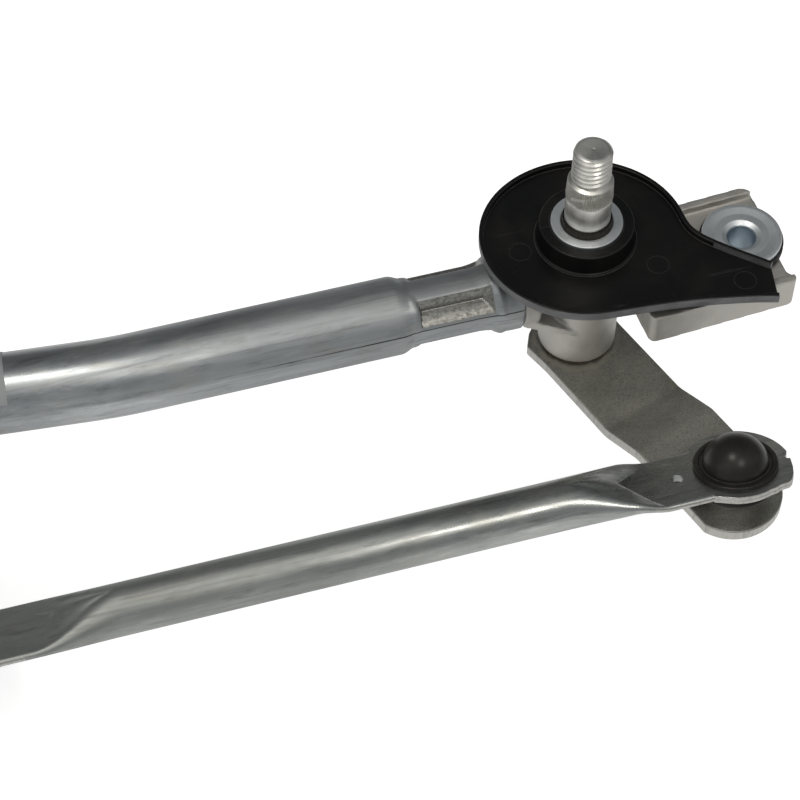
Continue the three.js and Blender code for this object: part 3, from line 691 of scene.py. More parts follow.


# the last pair of each gives where along X the surface turns rougher and darker, the darkening being painted
# shade
TUBE_STEEL = galvanised("galvanised_steel", (0.465, 0.487, 0.5), (0.27, 0.285, 0.297), (0.49, 0.465, 0.415),
                        (0.26, 0.36), (-0.125, -0.085), True)
CRIMPED = crimped()
ROD_STEEL = galvanised("galvanised_rod", (0.45, 0.465, 0.455), (0.26, 0.27, 0.262), (0.45, 0.43, 0.38),
                       (0.24, 0.34), (-0.05, -0.095))
CASTING = die_cast()
MACHINED = machined()
EDGE = sheared()
ZINC = zinc()
# painted shade: a darker, bluer copy of the zinc for the inside of the sleeve's hole
SHADED_BORE_ZINC = zinc("zinc_bore_shaded", (0.4, 0.47, 0.53), (0.32, 0.38, 0.43))
BRONZE = bronze()
PLASTIC = black_plastic()
DOME_PLASTIC = black_plastic("socket_plastic", (0.024, 0.023, 0.02), (0.25, 0.36))
# painted sheen: a lighter grey copy of the black plastic for the outer face of the cover's rim
RIM_SHEEN_PLASTIC = rim_sheen_plastic()
RUBBER = rubber()
GREASE = grease()
LIP = lip_rubber()
FILM = film()
PAINT = painted()
FERRITE = ferrite()
ACETAL = acetal()
CORE = laminations()


# ---- frame tube ----
def groove_depth(reach, angle):
    """How far the crimp presses the tube in, at a reach from the pivot axis and an angle round the tube."""
    sideways = abs(math.cos(angle - WAIST_TURN))
    along = smooth((reach - 21) / 9) * (1 - smooth((reach - 45.6) / 4.2))
    squeeze = WAIST * (0.1 + 0.9 * sideways) * along
    across = pocket_across(angle)
    swell = smooth(1 - abs(reach - CRIMP_NEAR + 1.5) / 1.6)
    swell += 0.5 * smooth(1 - abs(reach - CRIMP_FAR - 1.1) / 1.2)
    swell *= 0.45 * smooth(1.2 * across + 0.9)
    lip = 0.5 * (1 - smooth((reach - TUBE_END) / 0.9)) ** 2
    return squeeze + CRIMP_DEPTH * pocket_share(reach, across) + lip - swell


def pocket_across(angle):
    """1 on the crease of the nearest crimp pocket, 0 on its long edges, negative outside."""
    off = (angle - CRIMP_CREASE + math.pi / 4) % (math.pi / 2) - math.pi / 4
    return 1 + off / CRIMP_UPPER if off < 0 else 1 - off / CRIMP_LOWER


def pocket_share(reach, across):
    """0 outside a crimp pocket, 1 where it is deepest."""
    ends = min((reach - CRIMP_NEAR) / 2.6, (CRIMP_FAR - reach) / 1.1)
    return max(0.0, min(across, ends, 1.0))


def tube_rings(segments):
    """Outer and inner rings of the bent tube from right to left, and which outer faces are in a pocket."""
    left_reach = math.hypot(LEFT.x / MM - BEND_X, LEFT.y / MM)
    total = -BEND_X + left_reach
    fine_step, coarse_step, step = 0.33, 3.0, 0.25
    fine = [TUBE_END + fine_step * i for i in range(100)]
    coarse = [fine[-1] + coarse_step * i for i in range(1, int((total - 2 * fine[-1]) / coarse_step))]
    stations = fine + coarse + [total - a for a in reversed(fine)]
    centre = Vector((0.0, 0.0))
    start = -BEND_X - BEND_LENGTH / 2
    outer, inner, pocket_faces = [], [], []
    turn = along = 0.0
    index = 0
    for _ in range(int(total / step) + 2):
        while index < len(stations) and stations[index] <= along + step / 2:
            slip = stations[index] - along
            direction = Vector((-math.cos(turn), math.sin(turn)))
            middle = centre + direction * slip
            reach = min(stations[index], total - stations[index])
            side = Vector((math.sin(turn), math.cos(turn)))
            for rings, base in ((outer, TUBE_RADIUS), (inner, TUBE_RADIUS - TUBE_WALL)):
                ring = []
                for k in range(segments):
                    angle = 2 * math.pi * k / segments
                    radius = base - groove_depth(reach, angle)
                    flat = middle + side * (radius * math.cos(angle))
                    ring.append((flat.x, flat.y, TUBE_Z + radius * math.sin(angle)))
                rings.append(ring)
            for k in range(segments):
                between = pocket_across(2 * math.pi * (k + 0.5) / segments)
                pocket_faces.append(pocket_share(reach + 0.16, between) > 0.01)
            index += 1
        turn = TUBE_BEND * min(1.0, max(0.0, (along - start) / BEND_LENGTH))
        centre += Vector((-math.cos(turn), math.sin(turn))) * step
        along += step
    return outer, inner, pocket_faces


def build_frame_tube():
    outer, inner, pocket_faces = tube_rings(192)
    mesh = mesh_of(loft(outer + inner[::-1], loop=True))
    # faces in a pocket take the crimped skin, whose darker tone is painted shade
    for polygon, in_pocket in zip(mesh.polygons, pocket_faces):
        polygon.material_index = int(in_pocket)
    skins = [TUBE_STEEL, CRIMPED]
    finished("frame_tube", mesh, RIGHT_FRAME, "frame", "galvanised_steel", skins, 28, False)


def build_label():
    """A thin film wrapped round the upper front of the tube, left of the bend."""
    low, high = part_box("blank_label")
    reach = (low.x / MM + high.x / MM) / 2 - BEND_X
    middle = Vector((BEND_X + reach, -reach * math.tan(TUBE_BEND), TUBE_Z))
    half, steps = 14.9, 40
    rear, front = 30, 145
    wrap = arc(TUBE_RADIUS + 0.02, rear, front, steps) + arc(TUBE_RADIUS + 0.14, front, rear, steps)
    shape = loft([[(x, y, z) for y, z in wrap] for x in (-half, 0.0, half)])
    place = RIGHT_FRAME @ Matrix.Translation(middle) @ Matrix.Rotation(-TUBE_BEND, 4, "Z")
    finished("blank_label", mesh_of(shape), place, "frame", "blank_label", [FILM], 40, False)


# ---- pivot housing ----
def bar_x(radius, x0, x1, y, z, segments=64):
    return along_x(cylinder(radius, x0, x1, segments), y, z)


def ear_tray():
    """The mounting ear: two long walls that stand proud of a floor, hollow below."""
    x0, x1, half, wall, end = -22.0, 16.5, 16.5, 2.4, 0.9
    inner = half - wall
    near_lip, far_lip = x1 + 0.9, x1 + 1.9
    outline = rounded([(x0, -half, 2), (near_lip, -half, 4), (near_lip, -half + 3.6, 0.8),
                       (x1, -half + 4.6, 0.8), (x1, half - 12, 2), (far_lip, half - 7, 2),
                       (far_lip, half, 5), (x0, half, 5)], 6)
    solid = mesh_of(prism(outline, 22, 31.5))
    under = mesh_of(prism(rounded_box(x0 + wall, -inner, x1 - end, inner, 3), 20, 27.0))
    above = mesh_of(prism(rounded_box(x0 + 3, -inner, x1 + 12, inner, 3), 29.7, 34))
    tray = combined(solid, [under, above], "DIFFERENCE")
    verts = [tuple(v.co) for v in tray.vertices]
    faces = [list(p.vertices) for p in tray.polygons]
    return moved((verts, faces), EAR_X, EAR_Y, 0, EAR_SKEW)


def pivot_housing():
    barrel = turned([(0, 0), (BARREL_RADIUS, 0, 0.5), (BARREL_RADIUS, BARREL_TOP, 0.4), (0, BARREL_TOP)], 3)
    shoulder = turned([(0, -17.95), (9.35, -17.95, 0.5), (9.35, -13.4, 0.5), (0, -13.4)], 3)
    tenon = lathe([(0, -46), (7.2, -46), (7.2, -45), (3.1, -44), (3.1, -22), (7.4, -21), (7.4, -17),
                   (0, -17)])
    side = [(-17.6, 8.5), (-11, 8.9), (-5, 9.7), (0, 9.9)]
    side = [(x, -y) for x, y in side] + side[::-1]
    ramp = ((-17.6, 7.4, 17.0, 20.2), (-9.0, 8.9, 13.2, 16.0), (-2.0, 9.8, 11.0, 12.0))
    gusset = loft([[(x, -w, z0), (x, w, z0), (x, w, z1), (x, -w, z1)] for x, w, z0, z1 in ramp])
    top_flange = prism(side, 30.2, 34)
    web = box((-17, -2, 17.5), (0, 2, 33))
    neck = prism([(0, -8.5), (13.5, -10), (13.5, 8), (0, 8.5)], 23, 31.2)
    shapes = [barrel, along_x(shoulder, 0, TUBE_Z), along_x(tenon, 0, TUBE_Z), gusset, top_flange, web, neck,
              ear_tray()]
    bore = cylinder(BARREL_BORE, -2, 50)
    hole = moved(cylinder(GROMMET_HOLE, 15, 40, 64), SLEEVE_X, SLEEVE_Y)
    return cast(shapes, 0.36, 3, [bore, hole])


# ---- drip cover ----
def cover_path():
    """The rim's outer line: from the tail's near corner round the barrel to its far corner."""
    near = [(39.3, -32.0), (34.0, -30.5), (28.6, -29.4), (22.8, -28.2), (17.4, -27.3), (8.8, -26.4)]
    round_barrel = []
    for degrees in np.linspace(-92, -358, 91):
        a = math.radians(degrees)
        bulge = max(0.0, math.cos(a - math.radians(178))) ** 2
        bulge -= 1.1 * max(0.0, math.cos(a - math.radians(80))) ** 2
        round_barrel.append(((COVER_RADIUS + bulge) * math.cos(a), (COVER_RADIUS + bulge) * math.sin(a)))
    far = [(25.9, -4.2), (27.7, -7.8), (30.9, -11.3), (34.3, -14.6), (38.2, -18.1), (41.6, -21.2)]
    return near + round_barrel + far


def offset_path(path, distance):
    """An open path moved to its right by a distance, which is inward for the cover."""
    out = []
    for i, point in enumerate(path):
        before = Vector(path[max(i - 1, 0)])
        after = Vector(path[min(i + 1, len(path) - 1)])
        along = (after - before).normalized()
        out.append((point[0] + along.y * distance, point[1] - along.x * distance))
    return out


def softened_path(path, rounds):
    """Corner cutting, which turns a coarse line into a smooth one and keeps its ends."""
    for _ in range(rounds):
        cut = [path[0]]
        for a, b in zip(path, path[1:]):
            cut.append((0.75 * a[0] + 0.25 * b[0], 0.75 * a[1] + 0.25 * b[1]))
            cut.append((0.25 * a[0] + 0.75 * b[0], 0.25 * a[1] + 0.75 * b[1]))
        path = cut + [path[-1]]
    return path


def pivot_cover():
    path = softened_path(cover_path(), 2)
    inner = offset_path(path, COVER_RIM)
    rim = plate(path + inner[::-1], COVER_FLOOR[0], COVER_RIM_TOP, 0.3, steps=3)
    middle = offset_path(path, COVER_RIM / 2)
    floor = plate(middle, COVER_FLOOR[0] + 0.05, COVER_FLOOR[1], 0.1, [circle(11.2, steps=72)], 1)
    under, over = COVER_FLOOR
    profile = [(10.45, under), (12.9, under, 0.2), (12.75, over + 0.3, 0.3), (12.35, over + 0.6, 0.3),
               (11.85, COLLAR_TOP, 0.35), (9.2, COLLAR_TOP, 0.2), (9.2, 43.35), (10.45, 43.35)]
    collar = mesh_of(turned(profile, 4, 120, True))
    mesh = combined(rim, [floor, collar], "UNION")
    pin_mark = lathe([(2.72, 38.5), (2.8, 38.5), (2.8, 38.7), (2.72, 38.7)], 40)
    places = ((14.5, -13.4), (33.5, -23.9), (-17.1, -0.3))
    return combined(mesh, [mesh_of(moved(pin_mark, x, y)) for x, y in places], "DIFFERENCE")


def on_rim(polygon):
    """Whether a face of the cover is on its outer upright side."""
    middle = polygon.center.xy
    outward = polygon.normal.xy.dot(middle) > 0 or middle.x > 30
    upright = abs(polygon.normal.z) < 0.5 and middle.length > 16
    return upright and outward and polygon.center.z < COVER_RIM_TOP - 0.2


# ---- small turned parts ----
def ring_part(inner, outer, bottom, top, edge=0.15, segments=96):
    corners = [(inner, bottom, edge), (outer, bottom, edge), (outer, top, edge), (inner, top, edge)]
    return mesh_of(turned(corners, 4, segments, True))


def mount_sleeve(bottom, top):
    under = top - 1.15
    profile = [(3.45, bottom, 0.3), (5.0, bottom, 0.3), (5.0, under, 0.2), (10.2, under, 0.35),
               (10.2, top, 0.45), (9.0, top, 1.5), (7.0, top - 0.32, 1.5), (5.0, top - 0.28, 0.6),
               (3.45, top - 1.2, 0.8)]
    mesh = mesh_of(turned(profile, 5, 128, True))
    # faces in and at the mouth of the hole take the painted-shade zinc
    mark(mesh, lambda polygon: polygon.center.xy.length < 4.1)
    return mesh


def grommet(hole, floor_bottom, floor_top, bottom, top):
    neck = hole - 0.1
    profile = [(5.1, bottom), (hole - 0.4, bottom, 0.4), (hole + 0.9, floor_bottom - 0.15, 0.4),
               (neck, floor_bottom - 0.15), (neck, floor_top + 0.1), (10.8, floor_top + 0.1, 0.6),
               (10.7, top, 0.6), (5.1, top)]
    return mesh_of(turned(profile, closed=True))


def seal_ring():
    profile = [(5.95, 43.3), (6.4, 43.3), (6.45, 45.1, 0.3), (6.3, 46.4, 0.5), (5.98, 47.1, 0.15)]
    return mesh_of(turned(profile, 4, 128, True))


def thread_wave(share):
    """Height of a thread over one pitch: 0 at the root, 1 on the flat crest."""
    return min(1.0, max(0.0, 1.35 * (1 - abs(2 * (share % 1.0) - 1)) - 0.12))


def pivot_shaft():
    """Riveted foot, plain journal, straight knurl on a slight cone and a rolled thread, in one grid."""
    segments, teeth = 348, 58
    knurl_low, knurl_high = 54.7, 60.4
    thread_low, root, crest, pitch = 61.0, 4.15, 4.85, 1.5
    foot = CRANK_LOW - CRANK_THICK
    rows = [(0.0, foot - 1.0), (4.6, foot - 1.0), (5.2, foot - 0.85), (5.85, foot - 0.15),
            (5.85, foot - 0.02), (4.95, foot - 0.02), (4.95, CRANK_LOW + 0.05),
            (SHAFT_RADIUS, CRANK_LOW + 0.05)]
    rows += [(SHAFT_RADIUS, z) for z in np.linspace(0, knurl_low - 0.35, 12)]
    rows += [(SHAFT_RADIUS - 0.12, knurl_low - 0.1)]
    knurl = knurl_high - knurl_low
    rows += [(SHAFT_RADIUS - 0.3 * t, knurl_low + knurl * t) for t in np.linspace(0, 1, 37)]
    rows += [(5.2, knurl_high + 0.1), (4.85, knurl_high + 0.35), (4.4, knurl_high + 0.5)]
    rows += [(root, z) for z in np.arange(thread_low, SHAFT_TIP - 0.25, 0.085)]
    rows += [(r, SHAFT_TIP) for r in np.arange(3.9, 0.3, -0.16)] + [(0.0, SHAFT_TIP - 0.25)]
    verts, faces = lathe(rows, segments)
    out = []
    for x, y, z in verts:
        radius = math.hypot(x, y)
        angle = math.atan2(y, x) % (2 * math.pi)
        if radius < 1e-6:
            out.append((x, y, z))
            continue
        grown = radius
        if knurl_low <= z <= knurl_high and radius > 5:
            share = (angle * teeth / (2 * math.pi)) % 1.0
            tooth = 1 - abs(2 * share - 1)
            ends = smooth((z - knurl_low) / 0.35) * smooth((knurl_high - z) / 0.5)
            grown += 0.55 * (tooth - 0.62) * ends
            runout = abs(z - 57.3 - 1.9 * (angle - 4.87))
            grown -= 0.3 * max(0.0, 1 - runout / 0.4) if 4.7 < angle < 6.2 else 0.0
        elif z >= thread_low and z < SHAFT_TIP - 0.01:
            wave = thread_wave(z / pitch - angle / (2 * math.pi))
            fade = smooth((z - thread_low) / 0.25)
            chamfer = 4.05 + (SHAFT_TIP - z) * 0.95
            grown = min(root + (crest - root) * wave * fade, chamfer)
        elif z >= SHAFT_TIP - 0.01:
            z = SHAFT_TIP - 0.02 - 0.018 * math.cos(radius * 14)
            z -= 0.12 * smooth((radius - 3.5) / 0.4)
        out.append((x * grown / radius, y * grown / radius, z))
    return mesh_of((out, faces))


# ---- crank arms ----
def crank_outline():
    end = 12.9
    side = math.degrees(math.asin(CRANK_HALF_WIDTH / end))
    corners = [(3, 12), (-4.5, 12.6, 1), (-7.8, 9.6, 4), (-10.6, 5, 4), (-11.7, 0, 6)]
    shaft_end = rounded(corners + [(c[0], -c[1], *c[2:]) for c in corners[-2::-1]], 4, False)
    ball_end = arc(end, -side, side, 30, CRANK_RADIUS)
    return shaft_end + ball_end


def crank_arm(shaft_hole, joggled):
    holes = [circle(shaft_hole, steps=48), circle(4.0, CRANK_RADIUS)]
    mesh = plate(crank_outline(), -CRANK_THICK, 0, 0.4, holes, 3)
    start, end = JOGGLE
    with edited(mesh) as work:
        if joggled:
            for i in range(33):
                at = start - 2 + (end - start + 4) * i / 32
                everything = work.verts[:] + work.edges[:] + work.faces[:]
                bmesh.ops.bisect_plane(work, geom=everything, plane_co=(at, 0, 0), plane_no=(1, 0, 0))
        for vert in work.verts:
            rise = blended_step((vert.co.x - start) / (end - start)) if joggled else 1.0
            vert.co.z += CRANK_LOW + (CRANK_HIGH - CRANK_LOW) * rise
    mark(mesh, is_upright)
    return mesh


def is_upright(polygon):
    """Whether a face of a plate is on its sheared edge."""
    return abs(polygon.normal.z) < 0.5


def blended_step(t):
    """A straight ramp with short round bends at both ends."""
    bend = 0.18
    if t <= -bend / 2:
        return 0.0
    if t >= 1 + bend / 2:
        return 1.0
    if t < bend / 2:
        return (t + bend / 2) ** 2 / (2 * bend)
    if t > 1 - bend / 2:
        return 1 - (1 + bend / 2 - t) ** 2 / (2 * bend)
    return t


def ball_side(face):
    """Profile of one side of a ball stud, from the face it stands on to the top of its ball."""
    centre = face + BALL_HEIGHT
    neck = 3.75
    start = math.degrees(math.asin(neck / BALL_RADIUS))
    foot = rounded([(6.3, face + 0.05), (6.3, face + 1.9, 0.3), (neck, face + 2.3, 0.5),
                    (neck, centre - 5.3)], 3, False)
    ball = [(r, centre - z) for z, r in arc(BALL_RADIUS, start, 180, 24)]
    return foot + [(abs(r), z) for r, z in ball[:-1]] + [(0.0, centre + BALL_RADIUS)]


def ball_stud():
    back = -CRANK_THICK
    rivet = rounded([(0, back - 1.6), (4.6, back - 1.6, 0.5), (5.4, back - 0.02, 0.3),
                     (3.85, back - 0.02), (3.85, 0.05)], 3, False)
    return mesh_of(lathe(rivet + ball_side(0), 72))


def double_ball_stud():
    lower = [(r, -CRANK_THICK - z) for r, z in ball_side(0)][::-1]
    return mesh_of(lathe(lower + [(3.85, -CRANK_THICK - 0.05), (3.85, 0.05)] + ball_side(0), 72))


# ---- drive links ----
def head_outline():
    """Plan of a stamped head round the ball. +X points away from the tube, and -Y is the near side."""
    far = arc(13.8, 4, 78, 24) + arc(HEAD_RADIUS, 84, 132, 16)
    left = [(-9.0, 5.0)]
    near = [(-9.0, -9.2), (-8.6, -9.45), (-7.6, -9.9), (-6.5, -10.55), (-5.4, -11.1)]
    near += arc(12.4, 250, 292, 18)
    s_curve = [(6.1, -11.3), (7.4, -10.7), (8.8, -10.5), (9.9, -10.4), (10.9, -9.6), (12.2, -7.4),
               (13.0, -5.0), (13.6, -1.9), (12.7, -1.5), (12.6, -0.7), (13.2, -0.2)]
    return far + left + near + s_curve


def section(height, lift, crown, reach, blunt):
    """Cross-section of the pressed tube at a reach from the ball. The motor end is the blunt one."""
    count = 112
    width = height + math.pi * (ROD_DIAMETER - height) / 2
    flat = (width - height) / 2
    bow = math.pi * height / 2
    total = 4 * flat + 2 * bow
    ring = []
    for k in range(count):
        s = total * k / count
        if s < flat:
            y, z = s, height / 2 + crown * (1 - (s / flat) ** 2) ** 2
        elif s < flat + bow:
            a = (s - flat) / (height / 2)
            y, z = flat + height / 2 * math.sin(a), height / 2 * math.cos(a)
        elif s < 3 * flat + bow:
            y, z = flat - (s - flat - bow), -height / 2
            z -= crown * (1 - (y / flat) ** 2) ** 2
        elif s < 3 * flat + 2 * bow:
            a = (s - 3 * flat - bow) / (height / 2)
            y, z = -flat - height / 2 * math.sin(a), -height / 2 * math.cos(a)
        else:
            y, z = -flat + (s - 3 * flat - 2 * bow), height / 2
            z += crown * (1 - (y / flat) ** 2) ** 2
        z += lift
        if blunt and z > 0:
            inside = 32.1 - 0.6 * (y - 1.5) ** 2 - reach
            z -= 0.3 * smooth(inside / 0.8 + 0.5) * smooth((reach - 27) / 3)
        elif not blunt:
            crease = 28.4 - 7.4 * min(1.0, abs(y) / 9.6)
            die = ROD_FLAT / 2 + 0.02 + 1.6 * max(0.0, reach - crease)
            blend = 0.05 + 0.6 * smooth((reach - crease) / 2)
            z = soft_min(z, die, blend) if z > 0 else max(z, -die)
        ring.append((y, z))
    return ring


def soft_min(a, b, width):
    blend = max(0.0, width - abs(a - b)) / width
    return min(a, b) - blend * blend * width / 4


def link_rod(length):
    ends = list(np.arange(6.0, 18.0, 2.0)) + list(np.arange(18.0, 50.0, 0.4))
    body = list(np.linspace(52, length - 52, int((length - 104) / 6)))
    stations = ends + body + [length - a for a in reversed(ends)]
    rings = []
    for x in stations:
        reach = min(x, length - x)
        blunt = x < length / 2
        share = smooth((reach - (26 if blunt else 23)) / 23)
        lift = ROD_LIFT * (smooth((reach - 12) / 7) if blunt else smooth((reach - 19.5) / 9))
        height = ROD_FLAT + (ROD_DIAMETER - ROD_FLAT) * share
        crown = min(3 * share * (1 - share), (ROD_DIAMETER - height) / 2) if share < 0.98 else 0.0
        rings.append([(x, y, ROD_MID + z) for y, z in section(height, lift, crown, reach, blunt)])
    mesh = mesh_of(loft(rings))
    heads, cuts = [], []
    for at, outward in ((length, 1), (0, -1)):
        points = [(at + outward * x, y) for x, y in head_outline()]
        heads.append(plate(points, ROD_MID, 0.015, 0.14))
        heads.append(plate(points, -ROD_FLAT - 0.015, ROD_MID + 0.02, 0.14))
        tooling = moved(cylinder(TOOLING_HOLE, -6, 4, 32), at - outward * TOOLING_REACH, 0.2)
        cuts = [mesh_of(moved(cylinder(SOCKET_BORE, -6, 4, 64), at)), mesh_of(tooling)] + cuts
    mesh = combined(combined(mesh, heads, "UNION"), cuts, "DIFFERENCE")
    mark(mesh, lambda polygon: on_head_edge(polygon, length))
    return mesh


def ball_socket():
    """Moulded cap: a dome over the ball, a groove and flange on the plate, and a flared skirt below it."""
    hollow = 6.85
    inside = [(hollow * math.cos(a), hollow * math.sin(a)) for a in np.linspace(1.45, -0.553, 18)]
    skirt = rounded([inside[-1], (7.6, -3.6, 0.2), (9.2, -5.6, 0.3), (10.0, -5.6, 0.2), (10.0, -4.9, 0.3),
                     (8.7, -2.7, 0.5), (8.2, -2.1, 0.1), (7.3, -2.08), (7.3, 0.06),
                     (10.45, 0.06, 0.15), (10.45, 1.3, 0.4), (9.3, 1.3, 0.2), (8.9, 0.9, 0.2),
                     (8.5, 0.9, 0.1)], 3, False)
    sweep = np.linspace(0.12, math.pi / 2, 26)[:-1]
    dome = [(DOME_RADIUS * math.cos(a), DOME_RADIUS * math.sin(a)) for a in sweep]
    return mesh_of(lathe([(0.0, hollow)] + inside + skirt[1:] + dome + [(0.0, DOME_RADIUS)], 128))


def build_link(side, ball, motor_ball, roll, body):
    """One link, in a frame with the motor-end ball on the origin and the pivot-end ball along +X."""
    span = (ball - motor_ball).xy
    length = span.length / MM
    place = local_frame(motor_ball.x, motor_ball.y, ball.z, heading(span.to_3d()), roll)
    finished(f"{side}_link_rod", link_rod(length), place, body, "galvanised_steel", [ROD_STEEL, EDGE], 30)
    for end, x in (("motor", 0), ("pivot", length)):
        at = place @ Matrix.Translation((x, 0, 0))
        node = f"{side}_link_{end}_end_socket"
        finished(node, ball_socket(), at, body, "black_plastic", [DOME_PLASTIC], 40)


def on_head_edge(polygon, length):
    """Whether a face of a link is on the sheared outline of one of its stamped heads."""
    x, y, _ = polygon.center
    reach = min(x, length - x)
    on_head = math.hypot(reach, y) > 9.2 and (reach < 9.4 or (reach < 24 and abs(y) > 8.7))
    return on_head and abs(polygon.normal.z) < 0.6


# ---- one pivot ----
def build_pivot(side, axis, mirror):
    sleeve = box_centre(f"{side}_mount_sleeve") - axis
    turn = heading(sleeve) - math.atan2(mirror * SLEEVE_Y, SLEEVE_X)
    place = local_frame(axis.x, axis.y, FOOT_Z, turn, 0, mirror)
    ear = place @ Matrix.Translation((SLEEVE_X, SLEEVE_Y, 0))
    cover = pivot_cover()
    # the rim's outer upright faces take the painted sheen
    mark(cover, on_rim)

    def fixed(name, mesh, slot, materials, at=place, **shading):
        finished(f"{side}_{name}", mesh, at, "frame", slot, materials, **shading)

    fixed("pivot_housing", pivot_housing(), "die_cast", [CASTING], sharp=40, weighted=False)
    fixed("pivot_cover", cover, "black_plastic", [PLASTIC, RIM_SHEEN_PLASTIC])
    fixed("upper_bush", ring_part(5.9, 7.42, 27, 43.1), "bronze", [BRONZE])
    fixed("lower_bush", ring_part(5.9, 7.42, 0.2, 16), "bronze", [BRONZE])
    fixed("grommet", grommet(GROMMET_HOLE, 26.8, 29.7, 24.4, 32.4), "rubber", [RUBBER], ear)
    fixed("mount_sleeve", mount_sleeve(21.4, 33.6), "zinc_plated", [ZINC, SHADED_BORE_ZINC], ear)
    fixed("retaining_washer", ring_part(6.5, 9.0, 43.3, 45, 0.2, 128), "zinc_plated", [ZINC])
    fixed("seal_ring", seal_ring(), "rubber", [LIP])
    fixed("thrust_washer", ring_part(6, 9.6, CRANK_LOW + 0.05, -0.02, 0.2), "greased_washer", [GREASE])

    body = f"{side}_pivot"
    crank = local_frame(axis.x, axis.y, FOOT_Z, CRANK_REST)
    finished(f"{side}_pivot_shaft", pivot_shaft(), crank, body, "machined_steel", [MACHINED], 50, False)
    skin = pressed(f"{side}_crank_skin", axis)
    finished(f"{side}_crank_arm", crank_arm(4.95, True), crank, body, "pressed_steel", [skin, EDGE], 50)
    lift = CRANK_HIGH if mirror > 0 else CRANK_HIGH - CRANK_THICK
    upright = Matrix.Rotation(0 if mirror > 0 else math.pi, 4, "X")
    ball = crank @ Matrix.Translation((CRANK_RADIUS, 0, lift)) @ upright
    finished(f"{side}_ball_stud", ball_stud(), ball, body, "machined_steel", [MACHINED])


# ---- motor ----
PLATE_TOP = -21.9
PLATE_BOTTOM = -24.0
CASTING_TOP = -24.1
REAR_MOUNT_Y = 56.0
SCREW_CIRCLE = 28.0
SCREW_ANGLES = [math.radians(a) for a in (90, 210, 330)]
WORM_Y, WORM_Z = 31.0, -47.0
YOKE_START = 40.0


def screw_places():
    return [(SCREW_CIRCLE * math.cos(a), SCREW_CIRCLE * math.sin(a)) for a in SCREW_ANGLES]


def motor_plate():
    right = rounded([(0, -29), (35, -29, 8), (35, 30, 12), (15, 44, 10), (15, REAR_MOUNT_Y)], 6, False)
    left = rounded([(-15, REAR_MOUNT_Y), (-15, 44, 10), (-37, 30, 12), (-37, -29, 8), (0, -29)], 6, False)
    outline = right + arc(15, 0, 180, 28, 0, REAR_MOUNT_Y)[1:-1] + left[:-1]
    holes = [circle(12.4, steps=56), circle(GROMMET_HOLE, 0, REAR_MOUNT_Y, 48)]
    holes += [circle(3.3, x, y, 24) for x, y in screw_places()]
    base = plate(outline, PLATE_BOTTOM, PLATE_TOP, 0.3, holes, 2)
    webs = []
    for x in (-28.0, 28.0):
        centre_y = -(MOTOR.x / MM + x - BEND_X) * math.tan(TUBE_BEND)
        seat = arc(TUBE_RADIUS + 0.25, 205, 335, 24, centre_y, TUBE_Z)
        web = [(-4, PLATE_BOTTOM + 0.5)] + [(-4, 16)] + seat + [(22, 16), (22, PLATE_BOTTOM + 0.5)]
        mesh = plate(web, -1.25, 1.25, 0.3)
        stand = Matrix(((0, 0, 1, x), (1, 0, 0, 0), (0, 1, 0, 0), (0, 0, 0, 1)))
        mesh.transform(stand)
        webs.append(mesh)
    return combined(base, webs, "UNION")


def gear_housing():
    cup = turned([(0, -60), (35, -60, 0.8), (35, CASTING_TOP, 2.5), (0, CASTING_TOP)], 4, 128)
    tower = turned([(0, -26), (12, -26), (12, -8.2, 1.2), (0, -8.2)])
    worm_body = bar_x(11, -YOKE_START, 24, WORM_Y, WORM_Z)
    flange = bar_x(22.5, -YOKE_START, -YOKE_START + 4, WORM_Y, WORM_Z, 96)
    ribs = []
    for angle in (150, 180, 200, 250, 270, 290):
        rib = box((33, -1.1, -58), (37.0 if angle != 180 else 36.2, 1.1, -30))
        ribs.append(moved(rib, turn=math.radians(angle)))
    neck = box((-YOKE_START, WORM_Y - 1.4, WORM_Z - 14), (-22, WORM_Y + 1.4, WORM_Z + 14))
    cuts = [cylinder(32, -66, -29.2, 128), bar_x(8, -YOKE_START - 1, 20, WORM_Y, WORM_Z),
            cylinder(7.2, -50, 0)]
    cuts += [moved(cylinder(2.9, -38, -20, 32), x, y) for x, y in screw_places()]
    return cast([cup, tower, worm_body, flange, *ribs, neck], 0.6, 3, cuts)


def gear_cover():
    top = -60.1
    lid = turned([(0, top - 2), (35, top - 2, 0.8), (35, top, 0.3), (0, top)], 4, 128)
    boss = turned([(0, top - 4.5), (9, top - 4.5, 0.8), (9, top - 1), (0, top - 1)], 4, 72)
    rib = box((7, -0.8, top - 3.6), (31, 0.8, top - 1))
    ribs = [moved(rib, turn=math.radians(a)) for a in range(0, 360, 45)]
    hoop = lathe([(20.2, top - 3.2), (21.8, top - 3.2), (21.8, top - 1), (20.2, top - 1)], 96)
    return combined(mesh_of(lid), [mesh_of(s) for s in [boss, hoop, *ribs]], "UNION")


def motor_yoke():
    radius, wall, length = 22.6, 1.4, 92.0
    profile = [(0, length - 1.6), (6.5, length - 1.6, 0.5), (7.6, length, 0.8), (9.5, length, 1.0),
               (11.0, length - 1.2, 1.5), (radius, length - 1.2, 5.5), (radius, 0.1, 0.3),
               (radius - wall, 0.1, 0.3), (radius - wall, length - 3.2, 4.0), (0, length - 3.2)]
    return turned(profile, 7, 160)


def along_worm(shape):
    """Lays a shape turned about Z on the worm axis, with its Z along -X from the housing's flange."""
    lay = Matrix.Translation((-YOKE_START, WORM_Y, WORM_Z)) @ Matrix.Rotation(-math.pi / 2, 4, "Y")
    return moved(shape, matrix=lay)


def connector():
    body = plate(rounded_box(-24, -50, -4, -33.5, 1.2, 4), -50, -38, 0.5)
    mouth = mesh_of(box((-22, -51, -48.3), (-6, -39, -39.7)))
    wall = mesh_of(cylinder(35.2, -80, 10, 128))
    latch = mesh_of(box((-17, -47, -38.4), (-11, -42, -36.9)))
    body = combined(body, [latch], "UNION")
    body = combined(body, [mouth, wall], "DIFFERENCE")
    pins = [mesh_of(box((x - 0.4, -48, -44.4), (x + 0.4, -38.5, -43.6))) for x in (-19, -15.7, -12.3, -9)]
    return combined(body, pins, "UNION")


